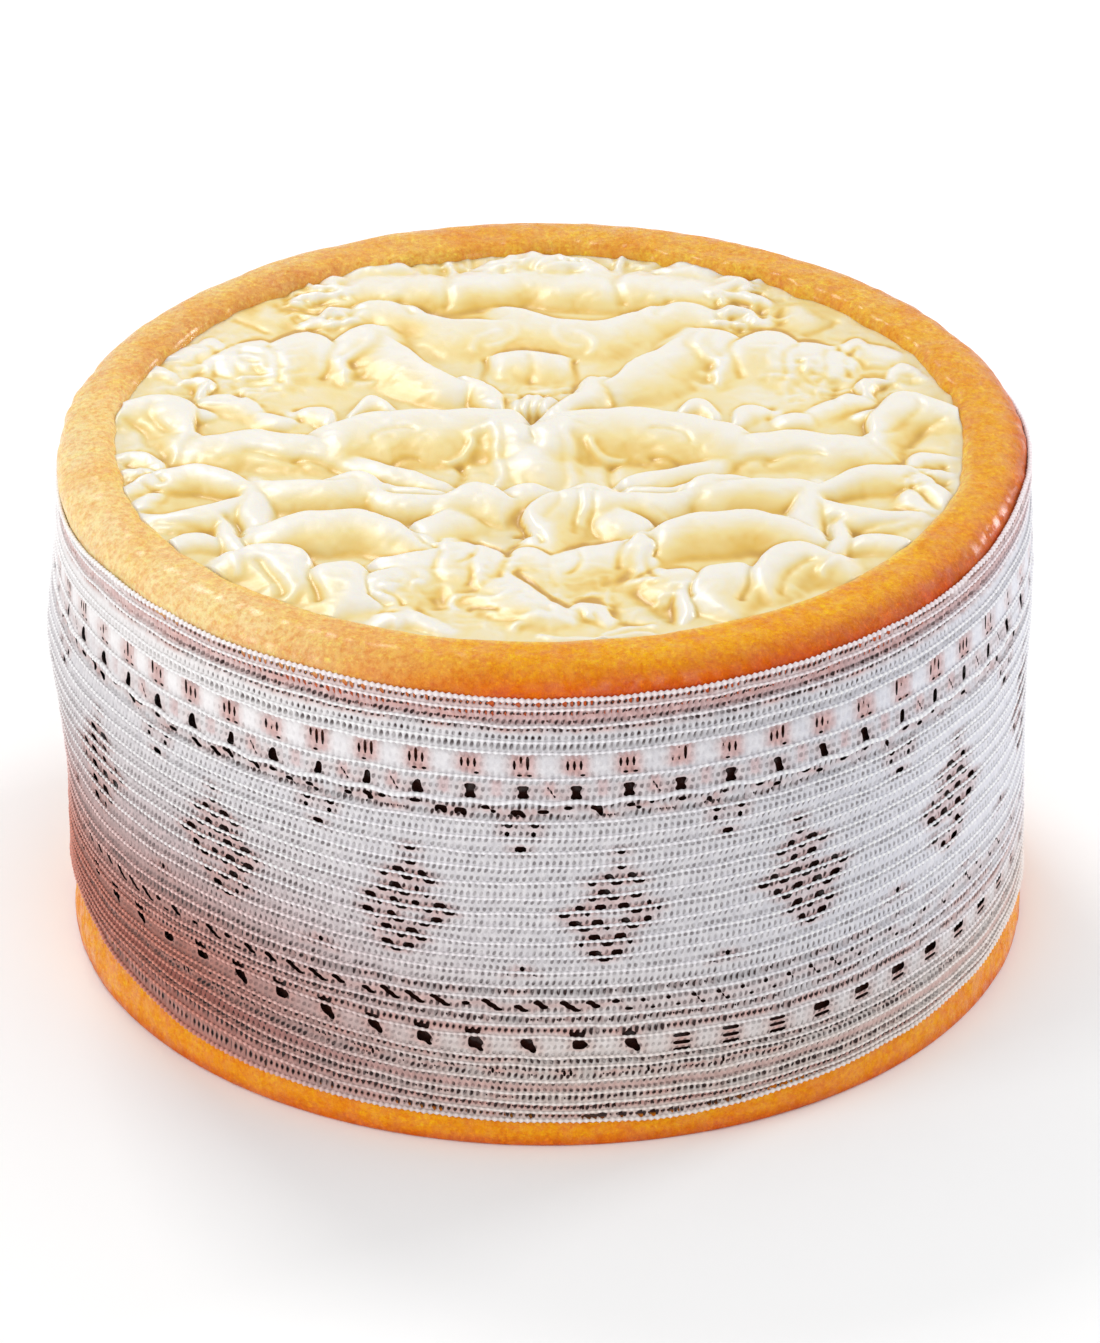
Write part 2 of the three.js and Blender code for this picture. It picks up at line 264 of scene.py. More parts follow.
# The folds are nearly those of part.mjs, but run out more softly over a shallower floor
FLOOR = 65.7
TURN_UP_FROM = 46.0
TURN_UP_REACH = 6.0
RISE_AT_FRONT = 0.5
RISE_AT_BACK = 0.8
FOLD_DROP = 3.3
FOLD_SAG = 0.35
FOLD_END_ROUND = 1.5
FRONT_STRETCH = 1.25
END_SOFTNESS = 2.5
CREASE_ROUND = 0.35
STROKE_SHARE = 0.55
MIRROR_X = -1.4
USUAL_BACK_AND_END = (2.2, 3.9)

# line x0, y0, x1, y1; bow; crest; how far it falls in front, and, where it isn't the usual, how far
# at its back and at its ends. The left ones are also drawn mirrored, on the right.
LEFT_FOLDS = [
    (-26.5, 42.5, 0, 45, 0, 67.6, 6.5, 8, 3.9), (-25.5, 48, -18.5, 49, 1, 67.4, 7, 3, 3.9),
    (-25.5, 37, -15.5, 36, 2, 67.1, 9), (-15.5, 36, -3, 33.5, -1, 67, 12),
    (-30, 43, -26, 46.5, 0.5, 67.4, 4, 2.2, 2.5), (-33, 39.5, -28.5, 41, 0.5, 67.1, 3, 2.2, 2.5),
    (-29.5, 35.5, -25, 37.5, 0.5, 67.2, 3, 2.2, 2.5),
    (-32, 34, -27.5, 34.5, 0.5, 66.9, 3, 2.2, 2.5), (-38.5, 36, -34.5, 36, 0, 66.6, 8, 8, 6),
    (-49, 23.5, -44, 27.5, 0.5, 67.1, 6, 2.2, 3), (-45, 27, -42, 27.5, 1, 67.2, 5, 2.2, 2.5),
    (-43, 22.5, -39.5, 26, 0, 67.3, 9, 2.2, 3), (-39.5, 26.5, -35.5, 26, 0.5, 67.4, 10),
    (-35.5, 26, -28, 27.5, 3, 67.6, 13), (-27.5, 27.5, -22.5, 31.5, 0.5, 67.5, 10),
    (-20.5, 28.5, -10.5, 15.5, -0.5, 67.4, 9, 1.7, 3.9),
    (-10.5, 17.5, -6, 9.5, 1, 67.3, 4, 1.7, 2.5), (-25, 8.5, -19.5, 9.5, 3, 66.6, 5, 2.4, 2),
    (-46.5, 17.5, -44, 14, 1.5, 67.3, 2.5, 1.8, 2.5),
    (-52.5, 18.5, -47.5, 18.5, 2, 66.9, 5, 2.2, 3), (-55.5, 8, -45, 3.5, 5.5, 67.7, 10, 3, 3.9),
    (-47, 9.5, -43, 8, 0, 66.7, 4, 1.8, 3), (-43.5, 13, -37, 9.5, 1, 66.8, 6, 2.2, 3),
    (-37, 8, -32.5, 7, 0, 66.7, 5, 1.8, 3), (-32, 9.5, -27, 6.5, 2, 66.7, 5, 2.2, 3),
    (-45, -0.5, -26.5, -0.5, 1.5, 67.2, 9, 4, 3.9), (-27.5, 3, -4, 6, 1.5, 67.9, 11, 3, 2.5),
    (-26, -3.5, -12, -10.5, -0.5, 66.7, 6, 2, 3), (-54.5, -4, -48.5, -7.5, 1.5, 67.1, 3.4, 2.2, 3),
    (-54, -9, -48.5, -9.5, 1, 67, 3, 2.2, 3), (-53, -13.5, -38, -11.5, 4.5, 67.5, 6),
    (-35.5, -12, -21, -12.5, 0, 67.5, 6.5), (-27, -10.5, -21, -13, 1, 67.6, 5),
    (-21, -12, -12, -13, -1, 66.9, 3, 2, 3), (-21.5, -13.5, -12, -14.5, -2, 67.3, 6, 2, 3.9),
    (-12.5, -15, -5, -15.5, 2, 67.5, 8), (-49.5, -20, -38, -16, -1.5, 67.3, 6),
    (-52, -18.5, -48.5, -13.5, -0.5, 67, 3, 2.2, 3), (-48.5, -28.5, -41, -26, 1, 67.2, 5, 2.2, 3),
    (-40, -19.5, -37.5, -32, -0.5, 67, 3, 3, 3.9),
    (-37, -11.5, -35.5, -25.5, 0, 67.1, 3.5, 4.5, 3.9), (-34.5, -23.5, -17, -24.5, 3, 67.9, 8),
    (-17, -24, -11, -18, 0, 67.1, 8), (-38, -31, -29, -35, 3, 68, 10),
    (-29, -34.5, -22, -40.5, 3, 67.8, 11),
]
MIDDLE_FOLDS = [
    (-7, 49.5, 7.5, 47.5, 2.5, 67.8, 7, 4, 3.9), (-5, 37.5, 4.5, 34, -1, 67.2, 12),
    (-6.5, 24.5, 3.5, 24.5, 0, 67, 9, 1.6, 1.6), (-4, 11.5, 1.5, 11.5, 1, 66.8, 8, 2, 1.6),
    (0, 6.5, 6, 16.5, -1, 67.9, 4, 2.2, 3), (-4.5, -13, 0.5, -12.5, 0, 66.7, 12),
    (-1.5, -24.5, 10, -15.5, 5, 67.8, 9), (-21.5, -39.5, -18, -34.5, 1, 67.3, 9),
    (-19.5, -32, -12.5, -27, -1.5, 67.5, 12), (-13, -27.5, -5, -31.5, 0.5, 67.5, 12),
    (-5, -31.5, 0.5, -31.5, 1.5, 67.5, 8), (0.5, -31.5, 9.5, -27.5, 0, 67.5, 9),
    (9, -29, 13, -30.5, 3, 67.6, 9, 2.2, 3), (15.5, -34.5, 18.5, -39, 1.5, 67.4, 9, 2.2, 3),
    (-4, -36.5, 3, -44.5, -0.5, 67.5, 9, 1.7, 3), (3.5, -43.5, 8, -45, 1.5, 67.2, 5, 1.8, 3),
    (18, -37, 17, -46, 0, 67.2, 2.2, 2.2, 3), (-21, -47.5, -12, -48.5, 1.5, 66.9, 4, 4, 3.9),
]

# Finer ridges and creases (those with a height below 0) drawn on the folds: line x0, y0, x1, y1;
# bow; height; width
LEFT_STROKES = [
    (-13.5, 20.5, -10.5, 17.5, 0, 0.5, 0.7), (-23, 29.5, -25.5, 23, 1, 0.7, 1),
    (-25.5, 23, -25.5, 18, -0.5, 0.6, 0.9), (-25.5, 20, -24, 20, 0, 0.5, 0.8),
    (-24, 17, -22.5, 17, 0, 0.5, 0.8), (-9, 26.5, -7, 31, 1, 0.3, 0.7),
    (-6.5, 27.5, -4, 32, -1, 0.3, 0.7), (-12, -4.5, -9, -1, -1, 0.6, 0.7),
    (-9, 1, -7, 2, 0, 0.5, 1.1), (-11, -5.5, -12, -13, 0.5, -0.8, 0.9),
    (-6, 4, -6, -11, 0, 0.5, 0.8), (-31.5, 45, -29.5, 42, 0, 0.8, 0.8),
    (-30.5, 39.5, -27.5, 41, 0.5, 0.7, 0.7), (-32, 35.5, -27, 36, 0.5, 0.7, 0.7),
    (-29, 32.5, -25.5, 34, 0.5, 0.6, 0.7), (-28.5, 44, -26, 42, 0, 0.7, 0.8),
    (-43.5, 26.5, -42.5, 19, 0.5, -0.7, 0.7), (-39.5, 26, -39, 19, -0.5, -0.6, 0.7),
    (-35.5, 26, -34, 18, 0.5, -0.6, 0.7), (-27.5, 28, -28.5, 19, 0.5, -0.8, 0.8),
    (-39.5, -20.5, -38, -25, 0, -0.9, 0.8), (-21.5, -0.5, -17, 2, 1, -0.3, 0.6),
    (-19.5, -5, -16.5, -4, 0.5, -0.3, 0.6), (-53.5, 5.5, -50, -0.5, 0.5, -0.4, 0.8),
    (-50.5, 9, -47, 2, -1, -0.4, 0.9), (-40.5, 16.5, -39.5, 12.5, 0, -0.7, 0.8),
    (-32, 10.5, -31.5, 7.5, 0, -0.6, 0.7), (-31, -4, -25, -8.5, 1, -0.6, 0.9),
    (-37.5, -3, -31, -5, 0.5, -0.5, 0.9), (-35, -33.5, -32, -40, 0.5, -0.7, 0.9),
    (-29, -33.5, -27.5, -41.5, 0, -0.9, 0.8), (-39.5, -32, -37.5, -36, 0.5, 0.6, 0.8),
    (-17, -23, -15.5, -27, 0, -0.8, 0.8), (-53, -6.5, -48.5, -10.5, 0, -0.7, 0.6),
    (-53.5, -11, -49, -13, 0, -0.6, 0.6), (-48, -21.5, -41.5, -24, 0.5, -0.6, 0.8),
    (-40.5, 34.5, -37, 31, 0, -0.5, 0.8), (-14, 49, -13, 39.5, 1, -0.6, 1),
    (-13, 51.5, -12, 49, 0, 0.9, 0.6), (-19, 39.5, -17.5, 36, 0, -0.5, 0.8),
]
MIDDLE_STROKES = [
    (-1.4, 0, -1.4, -6, 0, 3, 4.5), (-1.4, 8, -1.4, 5, 0, -2, 1.6),
    (-3.5, 13.5, -3, 8, 0, -0.7, 0.45), (-2, 14, -2, 7, 0, -0.7, 0.45),
    (-0.5, 14, -1, 7.5, 0, -0.7, 0.45), (-5.5, 13.5, -4.5, 13.5, 0, 0.8, 0.9),
    (2, 14, 3, 14, 0, 0.8, 0.9), (-7.5, 24, -7.5, 15.5, 0, -0.5, 0.6),
    (4.5, 24, 4, 15.5, 0, -0.5, 0.6), (-1.5, 23.5, -1.5, 16, 0, -0.4, 0.8),
    (2, -15, 0.5, -21.5, 0.5, -0.3, 0.6), (4.5, -14, 3.5, -24, 0.5, -0.3, 0.6),
    (7, -13, 6.5, -24.5, -0.5, -0.3, 0.6), (5.5, -14.5, 5, -22, 0, 0.3, 0.6),
    (-8, -26.5, -5, -30.5, 0.5, -1, 0.8), (-5, -30.5, -3.5, -27.5, 0.5, -1, 0.8),
    (-3.5, -24.5, -0.5, -27, 0.5, -0.9, 0.7), (-3, -35.5, 3, -43, -0.5, -1, 0.6),
    (-4, -48.5, -0.5, -46, 0.5, 0.7, 0.8), (-0.5, -45.5, 3, -47, 0.5, 0.7, 0.8),
    (7, -50, 13, -48, 0.5, 0.7, 0.7), (4, -42.5, 5.5, -45.5, 1, 0.7, 0.7),
    (5.5, -45.5, 7.5, -42.5, 1, 0.7, 0.7), (-11, -42.5, -9, -40, 1, 0.7, 0.7),
    (-14, -34.5, -13, -42, 1, -1.1, 1.4), (-9.5, -31, -9, -37.5, 0.5, -0.8, 0.7),
    (-8.5, -32, -7, -38, 0, 0.7, 1.1), (-9, -43.5, -6, -44, 0.5, -0.8, 0.6),
    (-18.5, -43.5, -15.5, -45.5, 0.5, 0.8, 0.9), (-20, -46, -18, -48, 0.5, 0.8, 0.9),
    (-20, -38, -19.5, -37.5, 0, 0.6, 0.7), (-18.5, -39.5, -18, -39, 0, 0.6, 0.7),
    (-15.5, -37.5, -15, -37.5, 0, 0.7, 0.7), (8.5, -42.5, 11.5, -47.5, -1, -1, 1.3),
    (12, -40, 15.5, -45.5, -0.5, -0.9, 1.5), (11, -37.5, 12, -37.5, 0, 0.6, 0.6),
    (12.5, -37, 13.5, -37, 0, 0.6, 0.6), (-14, -28, -13.5, -33.5, 0.5, -0.8, 0.6),
    (-9, -28, -10, -32.5, 0.5, -0.7, 0.6), (-5, -31, -5, -36, 0, -0.8, 0.7),
    (4, -29.5, 3.5, -34.5, 0.5, -0.7, 0.6), (9.5, -27.5, 9, -33.5, 0, -0.8, 0.7),
    (13, -30, 13.5, -36, -0.5, -0.8, 0.7), (-0.5, -50.5, 7, -51.5, 0, 0.6, 0.7),
    (7, -51.5, 12.5, -50.5, 0.5, 0.6, 0.7), (-19.5, -40, -17.5, -42.5, 0.5, -0.7, 0.6),
]
# Spots, each the same on both sides of the mirror line: how far off it, y, the reach each way, and
# the strength there: how high the crumbs of torn paste stand
CRUMBLY_SPOTS = [
    (28.5, 39, 6, 8, 0.3),
    (39.5, 20, 10, 10, 0.2),
    (0, -40, 22, 10, 0.12),
    (0, 50, 24, 4, 0.2),
    (0, 12, 7, 6, 0.15),
    (50.5, -12, 5, 12, 0.15),
]
# how much flatter the folds lie
FLAT_SPOTS = [
    (36, 24, 15, 10, 0.75),
    (0, 31, 20, 7, 0.5),
    (0, 17, 8, 8, 0.4),
    (0, -38, 20, 13, 0.8),
    (31, 40, 12, 7, 0.4),
    (35, 9.5, 13, 4, 0.5),
    (50, -12, 7, 12, 0.4),
]
# and how much yellower the paste is, or paler if below 0: the flat patches, the back, the torn
# lobes in front of the patches, the hollow in the middle (yellower as painted shade), the middle
# ridge (paler as painted light on its crest), the hollows beside it (yellower as painted shade)
SHADE_AND_TONE_SPOTS = [
    (35, 36, 5, 4, 0.3),
    (15, 38, 22, 8, 0.12),
    (38, 20, 13, 8, -0.15),
    (0, -18.5, 4.5, 4.5, 0.3),
    (0, 1, 5, 8, -0.6),
    (13, -3.5, 6, 3, 0.15),
]


def backness(angle):
    return (1 + np.sin(angle)) / 2


def on_wheel(angle, radius, height):
    """Points of the wheel's side at angles, radii and heights, on the leaning axis."""
    angle, radius, height = np.broadcast_arrays(angle, radius, height)
    share = height / RIM_HEIGHT - LEAN_CENTRE
    x = radius * np.cos(angle) + LEAN[0] * share
    y = radius * np.sin(angle) + LEAN[1] * share
    return np.stack([x, y, height], -1)


def along_line(x, y, line, bow):
    """How far points lie along a bowed line from its middle, its half length, and how far off it
    they lie."""
    x0, y0, x1, y1 = line
    half = math.hypot(x1 - x0, y1 - y0) / 2
    along_x, along_y = (x1 - x0) / 2 / half, (y1 - y0) / 2 / half
    dx, dy = x - (x0 + x1) / 2, y - (y0 + y1) / 2
    along = dx * along_x + dy * along_y
    share = np.clip(along / half, -1.15, 1.15)
    return along, half, dy * along_x - dx * along_y - bow * (1 - share**2)


def fold_shape(x, y, fold):
    """A fold's height, and how far down its front slope each point lies, from 0 at its crest."""
    bow, crest, front = fold[4:7]
    front = FRONT_STRETCH * front
    back, end = fold[7:] or USUAL_BACK_AND_END
    along, half, off = along_line(x, y, fold[:4], bow)
    past = np.maximum(np.abs(along) - half + FOLD_END_ROUND, 0) / (END_SOFTNESS * end)
    fall = (off / np.where(off < 0, front, back)) ** 2 + past**2
    height = crest - FOLD_DROP * fall - FOLD_SAG * np.clip(along / half, -2, 2) ** 2
    return height, np.clip(-off / front, 0, 1.2)


def stroke_height(x, y, stroke):
    bow, height, width = stroke[4:]
    along, half, off = along_line(x, y, stroke[:4], bow)
    past = np.maximum(np.abs(along) - half, 0)
    return height * np.exp(-((off / width) ** 2) - (past / width) ** 2)


def placed(x, left, middle):
    """Each shape with the x that it is drawn at: the left ones are drawn twice."""
    return [(x, shape) for shape in left + middle] + [(2 * MIRROR_X - x, shape) for shape in left]


def paste_shape(x, y):
    """The paste's height, and how far down a fold's front slope each point lies."""
    turn_up = np.clip((np.hypot(x, y) - TURN_UP_FROM) / TURN_UP_REACH, 0, 1)
    rise = lerp(RISE_AT_FRONT, RISE_AT_BACK, backness(np.arctan2(y, x)))
    wavy_x = x + 0.35 * np.sin(0.31 * y + 1) + 0.25 * np.sin(0.83 * y + 0.21 * x)
    wavy_y = y + 0.35 * np.sin(0.37 * x) + 0.2 * np.sin(0.9 * x + 0.5)
    height = FLOOR + rise * turn_up
    down = np.full(x.shape, 0.35)
    for fold_x, fold in placed(wavy_x, LEFT_FOLDS, MIDDLE_FOLDS):
        fold_height, fold_down = fold_shape(fold_x, wavy_y, fold)
        share = np.clip(0.5 + (fold_height - height) / (2 * CREASE_ROUND), 0, 1)
        height = lerp(height, fold_height, share) + CREASE_ROUND * share * (1 - share)
        down = lerp(down, fold_down, share)
    for stroke_x, stroke in placed(wavy_x, LEFT_STROKES, MIDDLE_STROKES):
        height = height + STROKE_SHARE * stroke_height(stroke_x, wavy_y, stroke)
    return height, down


# ---------------------------------------------------------------- paste
PASTE_RINGS = 174
PASTE_UNDER = 60.0  # where the paste piece ends, inside the rind's cup
EDGE_LENGTH = FULL_TURN * 54  # about what the opening's edge measures, for its noise
GRID_STEP = 0.2
GRID_REACH = 56.0
MOST_SHADE_AND_TONE = 1.4


def opening_radius(angle):
    """How far the paste reaches at an angle from the opening's middle, with a wavering edge."""
    plain = 1 / np.hypot(np.cos(angle) / OPENING_ACROSS, np.sin(angle) / OPENING_DEEP)
    along = angle / FULL_TURN * EDGE_LENGTH
    waver = layered_noise(along, 0 * along, [(0.4, 6.0, 3), (0.25, 2.5, 4)], EDGE_LENGTH)
    return plain + waver * (0.35 + backness(angle))


def blurred(grid, reach):
    """The grid after a blur over reach millimetres."""
    frequency_y = np.fft.fftfreq(grid.shape[0], GRID_STEP)[:, None]
    frequency_x = np.fft.rfftfreq(grid.shape[1], GRID_STEP)[None]
    kept = np.exp(-2 * (math.pi * reach) ** 2 * (frequency_x**2 + frequency_y**2))
    return np.fft.irfft2(np.fft.rfft2(grid) * kept, grid.shape)


def sampled(grid, x, y):
    column = np.clip((x + GRID_REACH) / GRID_STEP, 0, grid.shape[1] - 1.001)
    row = np.clip((y + GRID_REACH) / GRID_STEP, 0, grid.shape[0] - 1.001)
    i, j = row.astype(int), column.astype(int)
    fx, fy = column - j, row - i
    near = lerp(grid[i, j], grid[i, j + 1], fx)
    return lerp(near, lerp(grid[i + 1, j], grid[i + 1, j + 1], fx), fy)


def strength_at(x, y, spots):
    total = np.zeros(x.shape)
    for spot_off, spot_y, reach_x, reach_y, strength in spots:
        off = ((np.abs(x - MIRROR_X) - spot_off) / reach_x) ** 2 + ((y - spot_y) / reach_y) ** 2
        total += strength * np.exp(-(off**2))
    return total


def paste_grids():
    """The paste's height, and how yellow it is, with painted shade and light, on a square grid."""
    steps = np.arange(-GRID_REACH, GRID_REACH + GRID_STEP, GRID_STEP)
    x, y = np.meshgrid(steps, steps)
    height, down = paste_shape(x, y)
    bent_x = x + 0.8 * smooth_noise(x, y, 3.0, 41)
    bent_y = y + 0.8 * smooth_noise(x, y, 3.0, 42)
    torn = 1 - 2.5 * np.abs(smooth_noise(bent_x, bent_y * 1.3, 3.2, 43))
    torn = torn + 0.5 * (1 - 2.5 * np.abs(smooth_noise(bent_x, bent_y, 1.5, 44)))
    crumbs = strength_at(x, y, CRUMBLY_SPOTS) * torn
    crumbs = crumbs + layered_noise(bent_x, bent_y, [(0.06, 2.0, 11), (0.03, 0.9, 12)])
    height = height + crumbs
    height = height + 0.2 * (height - blurred(height, 1.0))
    near, far = blurred(height, 0.5) - height, blurred(height, 2.0) - height
    # painted shade: a slope is yellowest at its bottom, where the next fold in front stands over it
    # and shades it; creases are painted yellower as shade, and crests paler as light
    in_front = [np.roll(height, rows, 0) * (1 - 0.0012 * rows) for rows in (3, 6, 9, 12)]
    overhung = np.clip(np.max(in_front, 0) - height, 0, 1.2)
    yellow = 0.1 + 0.7 * eased(0.02, 0.6, blurred(down, 0.3)) + 0.7 * overhung
    yellow = yellow + 2.4 * np.clip(near, -0.15, 0.4) + 0.3 * np.clip(far, -0.8, 1.0)
    yellow = yellow + layered_noise(x, y, [(0.12, 9.0, 45), (0.1, 3.0, 46)])
    yellow = yellow + strength_at(x, y, SHADE_AND_TONE_SPOTS)
    height = lerp(height, blurred(height, 3.0) + 0.6 * crumbs, strength_at(x, y, FLAT_SPOTS))
    return height, np.clip(yellow, 0, MOST_SHADE_AND_TONE)


def make_paste(material):
    height, yellow = paste_grids()
    rings = []
    for k in range(PASTE_RINGS + 1):
        count = max(6 * k, 1)
        angle = FULL_TURN * np.arange(count) / count
        reach = opening_radius(angle) * k / PASTE_RINGS
        x, y = OPENING[0] + reach * np.cos(angle), OPENING[1] + reach * np.sin(angle)
        rings.append(np.stack([x, y, sampled(height, x, y)], 1))
    edge = rings[-1].copy()
    edge[:, 2] = PASTE_UNDER
    rings += [edge, np.array([[*OPENING, PASTE_UNDER]])]
    points, faces = bands_between(rings)
    yellow = sampled(yellow, points[:, 0], points[:, 1])
    piece = mesh_object("paste", points, faces, material, yellow=yellow)
    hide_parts("cheese")


# ---------------------------------------------------------------- rind
RIND_AROUND = 1200
RIND_LENGTH = FULL_TURN * 60  # about once round the rind, for its noise
GOLD = srgb(243, 168, 6)
DEEP_GOLD = srgb(238, 168, 40)
FOOT_GOLD = srgb(244, 156, 14)
LIT_PEACH = srgb(255, 231, 174)
STRAW = srgb(252, 214, 120)
TAN = srgb(236, 176, 70)
RUSSET = srgb(204, 110, 22)
SHADED_BROWN = srgb(176, 84, 22)
SHADED_EMBER = srgb(214, 80, 2)
FOOT_EMBER = srgb(200, 70, 8)
# painted shade, for the rind under the lace
SHADE_UNDER_LACE = srgb(42, 16, 10)
UNDER_TOP_EDGE = srgb(176, 90, 54)  # little shade reaches the rind near the lace's top edge


def rind_tint(degrees, down, height):
    """The rind's colour, with painted light and shade, by degrees, down from the opening (0) to the
    lace (1), and height.
    """
    sideways, forwards = np.sin(np.radians(degrees)), np.cos(np.radians(degrees))
    # painted light: the left side is painted paler where the light falls on it
    left = eased(0.05, 0.75, -sideways) * lerp(0.45, 1, eased(-0.6, 0.1, forwards))
    crackled = eased(0.4, 0.1, down) * eased(0.4, 0.6, -sideways)
    crackled = crackled * eased(-0.2, -0.45, forwards)
    lip = eased(0.09, 0.02, down) * eased(-0.3, 0.5, forwards)
    # painted shade: the shoulder turns deeper red-orange low down, where it turns down to the lace,
    # less so on the lit left
    shoulder_shade = eased(0.3, 1.0, down) * (0.95 - 0.85 * left)
    shoulder_shade = shoulder_shade * lerp(0.45, 1, eased(-0.6, 0.3, forwards))
    shoulder_shade = shoulder_shade * lerp(0.7, 1, eased(-0.5, 0.25, sideways))
    # painted shade: browner low on the right's outer edge, its shaded side
    right_edge_shade = eased(0.45, 0.8, down) * eased(0.3, 0.8, sideways)
    foot = eased(10, 7, height)
    # painted shade: the rind under the lace is painted dark, as the shade it lies in, and shows so
    # through the lace's holes
    over_low_edge = height - LOW_CORD - warp_height(degrees, LOW_CORD)
    under_top_edge = TOP_CORD + warp_height(degrees, TOP_CORD) - height
    shaded_under_lace = eased(-0.2, 0.5, over_low_edge) * eased(0.2, 1.0, under_top_edge)
    return tinted(
        GOLD,
        (DEEP_GOLD, eased(0.6, 1, sideways)),
        (TAN, eased(0.0, -0.8, forwards)),
        (LIT_PEACH, left * lerp(0.72, 1.0, eased(0.2, 0.6, down))),
        (RUSSET, 0.35 * crackled),
        (STRAW, 0.8 * lip),
        (SHADED_EMBER, shoulder_shade),
        (SHADED_BROWN, 0.55 * right_edge_shade),
        (FOOT_GOLD, foot),
        (FOOT_EMBER, foot * 0.7 * eased(2.2, 0.3, height)),
        (tinted(SHADE_UNDER_LACE, (UNDER_TOP_EDGE, eased(56, 61, height))), shaded_under_lace * (down > 0.5)),
    )


def rim_shape(angle):
    """The height of the rind's rim, the height of its shoulder and the shoulder's radius."""
    back = backness(angle)
    rim_top = RIM_HEIGHT + RIM_RISE_AT_BACK * back
    shoulder = SHOULDER_HEIGHT + SHOULDER_RISE_AT_BACK * back
    return rim_top, shoulder, SHOULDER_RADIUS + SHOULDER_SWELL_AT_BACK * back


def rind_radius(angle, height):
    """The radius of the rind's side above the waist."""
    rim_top, shoulder, widest = rim_shape(angle)
    over = np.clip((height - shoulder) / (rim_top - shoulder), 0, 1)
    side = lerp(WAIST_RADIUS, widest, eased(WAIST_TOP, shoulder, height))
    return side - (widest - RIM_CREST_RADIUS) * (1 - np.sqrt(1 - over**2))


def make_rind(material):
    angle = FULL_TURN * np.arange(RIND_AROUND) / RIND_AROUND
    rim_top, shoulder, widest = rim_shape(angle)
    reach = opening_radius(angle)
    out = np.stack([np.cos(angle), np.sin(angle)], 1)
    rings, downs = [], []

    def add(ring, down):
        rings.append(ring)
        downs.append(np.full(len(ring), down))

    def opening_ring(grow, height):
        place = np.array(OPENING) + out * (reach + grow)[:, None]
        return np.column_stack([place, np.broadcast_to(height, angle.shape)])

    # the cup that the paste lies in, and the rim's round edge
    add(np.array([[*OPENING, PASTE_UNDER - 1]]), 0)
    cup = [(-0.4, PASTE_UNDER - 1)]
    cup += [(-0.3, PASTE_UNDER + rise) for rise in (1, 2.5, 4)]
    cup += [(-0.15, rim_top - 1.3), (0.15, rim_top - 0.7), (0.6, rim_top - 0.3)]
    for grow, height in cup:
        add(opening_ring(grow, height), 0)
    inner = opening_ring(1.1, rim_top - 0.12)
    add(inner, 0.05)
    crest = on_wheel(angle, RIM_CREST_RADIUS, rim_top)
    for share in (0.3, 0.65, 1):
        add(lerp(inner, crest, share), 0.05 + 0.2 * share)
    for share in np.linspace(0, 1, 19)[1:]:
        turn = share * math.pi / 2
        radius = lerp(RIM_CREST_RADIUS, widest, math.sin(turn))
        add(on_wheel(angle, radius, lerp(shoulder, rim_top, math.cos(turn))), 0.25 + 0.75 * share)
    # the side behind the lace, the foot and the underside
    side = []
    for share in (0.2, 0.4, 0.6, 0.8, 1):
        height = lerp(shoulder, WAIST_TOP, share)
        side.append((rind_radius(angle, height), height))
    side += [(WAIST_RADIUS, height) for height in np.linspace(54, 12, 6)]
    for height in np.linspace(FOOT_TOP, 0.4, 15):
        side.append((lerp(WAIST_RADIUS, FOOT_BULGE_RADIUS, eased(9.5, 2.5, height)), height))
    side += [(FOOT_BULGE_RADIUS - 0.15, 0.12), (FOOT_RADIUS, 0), (FOOT_RADIUS - 6, 0)]
    for radius, height in side:
        add(on_wheel(angle, radius, height), 1)
    add(on_wheel(0, 0, 0)[None], 1)

    points, faces = bands_between(rings)
    turn = np.arctan2(points[:, 1], points[:, 0])
    radius, z = np.hypot(points[:, 0], points[:, 1]), points[:, 2].copy()
    # small bumps where the rind shows, but not inside the opening
    shown = eased(62, 66, z) + 1 - eased(8, 10, z)
    shown = shown * eased(0.0, 0.8, z) * eased(53.0, 54.5, radius)
    along = turn / FULL_TURN * RIND_LENGTH
    sizes = [(0.22, 6.0, 21), (0.12, 2.6, 22), (0.06, 1.2, 23)]
    bumps = layered_noise(along, z + radius, sizes, RIND_LENGTH)
    bumps = bumps * shown * (0.6 + 0.9 * backness(turn))
    sideways = eased(56, SHOULDER_RADIUS, radius)
    points[:, 0] += bumps * np.cos(turn) * sideways
    points[:, 1] += bumps * np.sin(turn) * sideways
    points[:, 2] += bumps * (1 - sideways) * eased(50, 60, z)
    degrees = np.degrees(np.arctan2(points[:, 0], -points[:, 1]))
    tint = rind_tint(degrees, np.concatenate(downs), z)
    piece = mesh_object("rind", points, faces, material, tint=tint)
    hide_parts("cheese")


# ---------------------------------------------------------------- lace
STITCHES = 480  # eight to each of the sixty eyelets
COLUMNS = 2 * STITCHES  # a column on each stitch and one in each gap between two
DEGREES_PER_COLUMN = 360 / COLUMNS
LACE_RADIUS = 62.0
STITCH_OUT = 0.14  # how far a cord's middle and a stitch's top lie out from the cloth
CORNER_SHARE = 0.26  # how much of a cell its rounded corners take
SLANT = 1.6  # how far the stitches lean from each line of the weave to the next, in radians
EYELETS = 60
EYELET_PITCH = 6.0
EYELET_FROM = -2.25
DIAMONDS = 15
DIAMOND_PITCH = 24.0
DIAMOND_FROM = 7.5
# How much the band hangs slack at the left and the right: how far, at what height, over what reach
SLACK_LEFT = (1.7, 40, 10)
SLACK_RIGHT = (0.6, 48, 12)
# The rows whose holes are cut one by one, by the height of the cord over them
TOP_CORD = 63.3
BLOCKS = 56.3
UPPER_EYELETS = 52.7
WAVE = 49.4
COMMAS = 21.6
OVER_LOW_EYELETS = 17.75
LOW_EYELETS = 16.0
LOW_CORD = 3.9

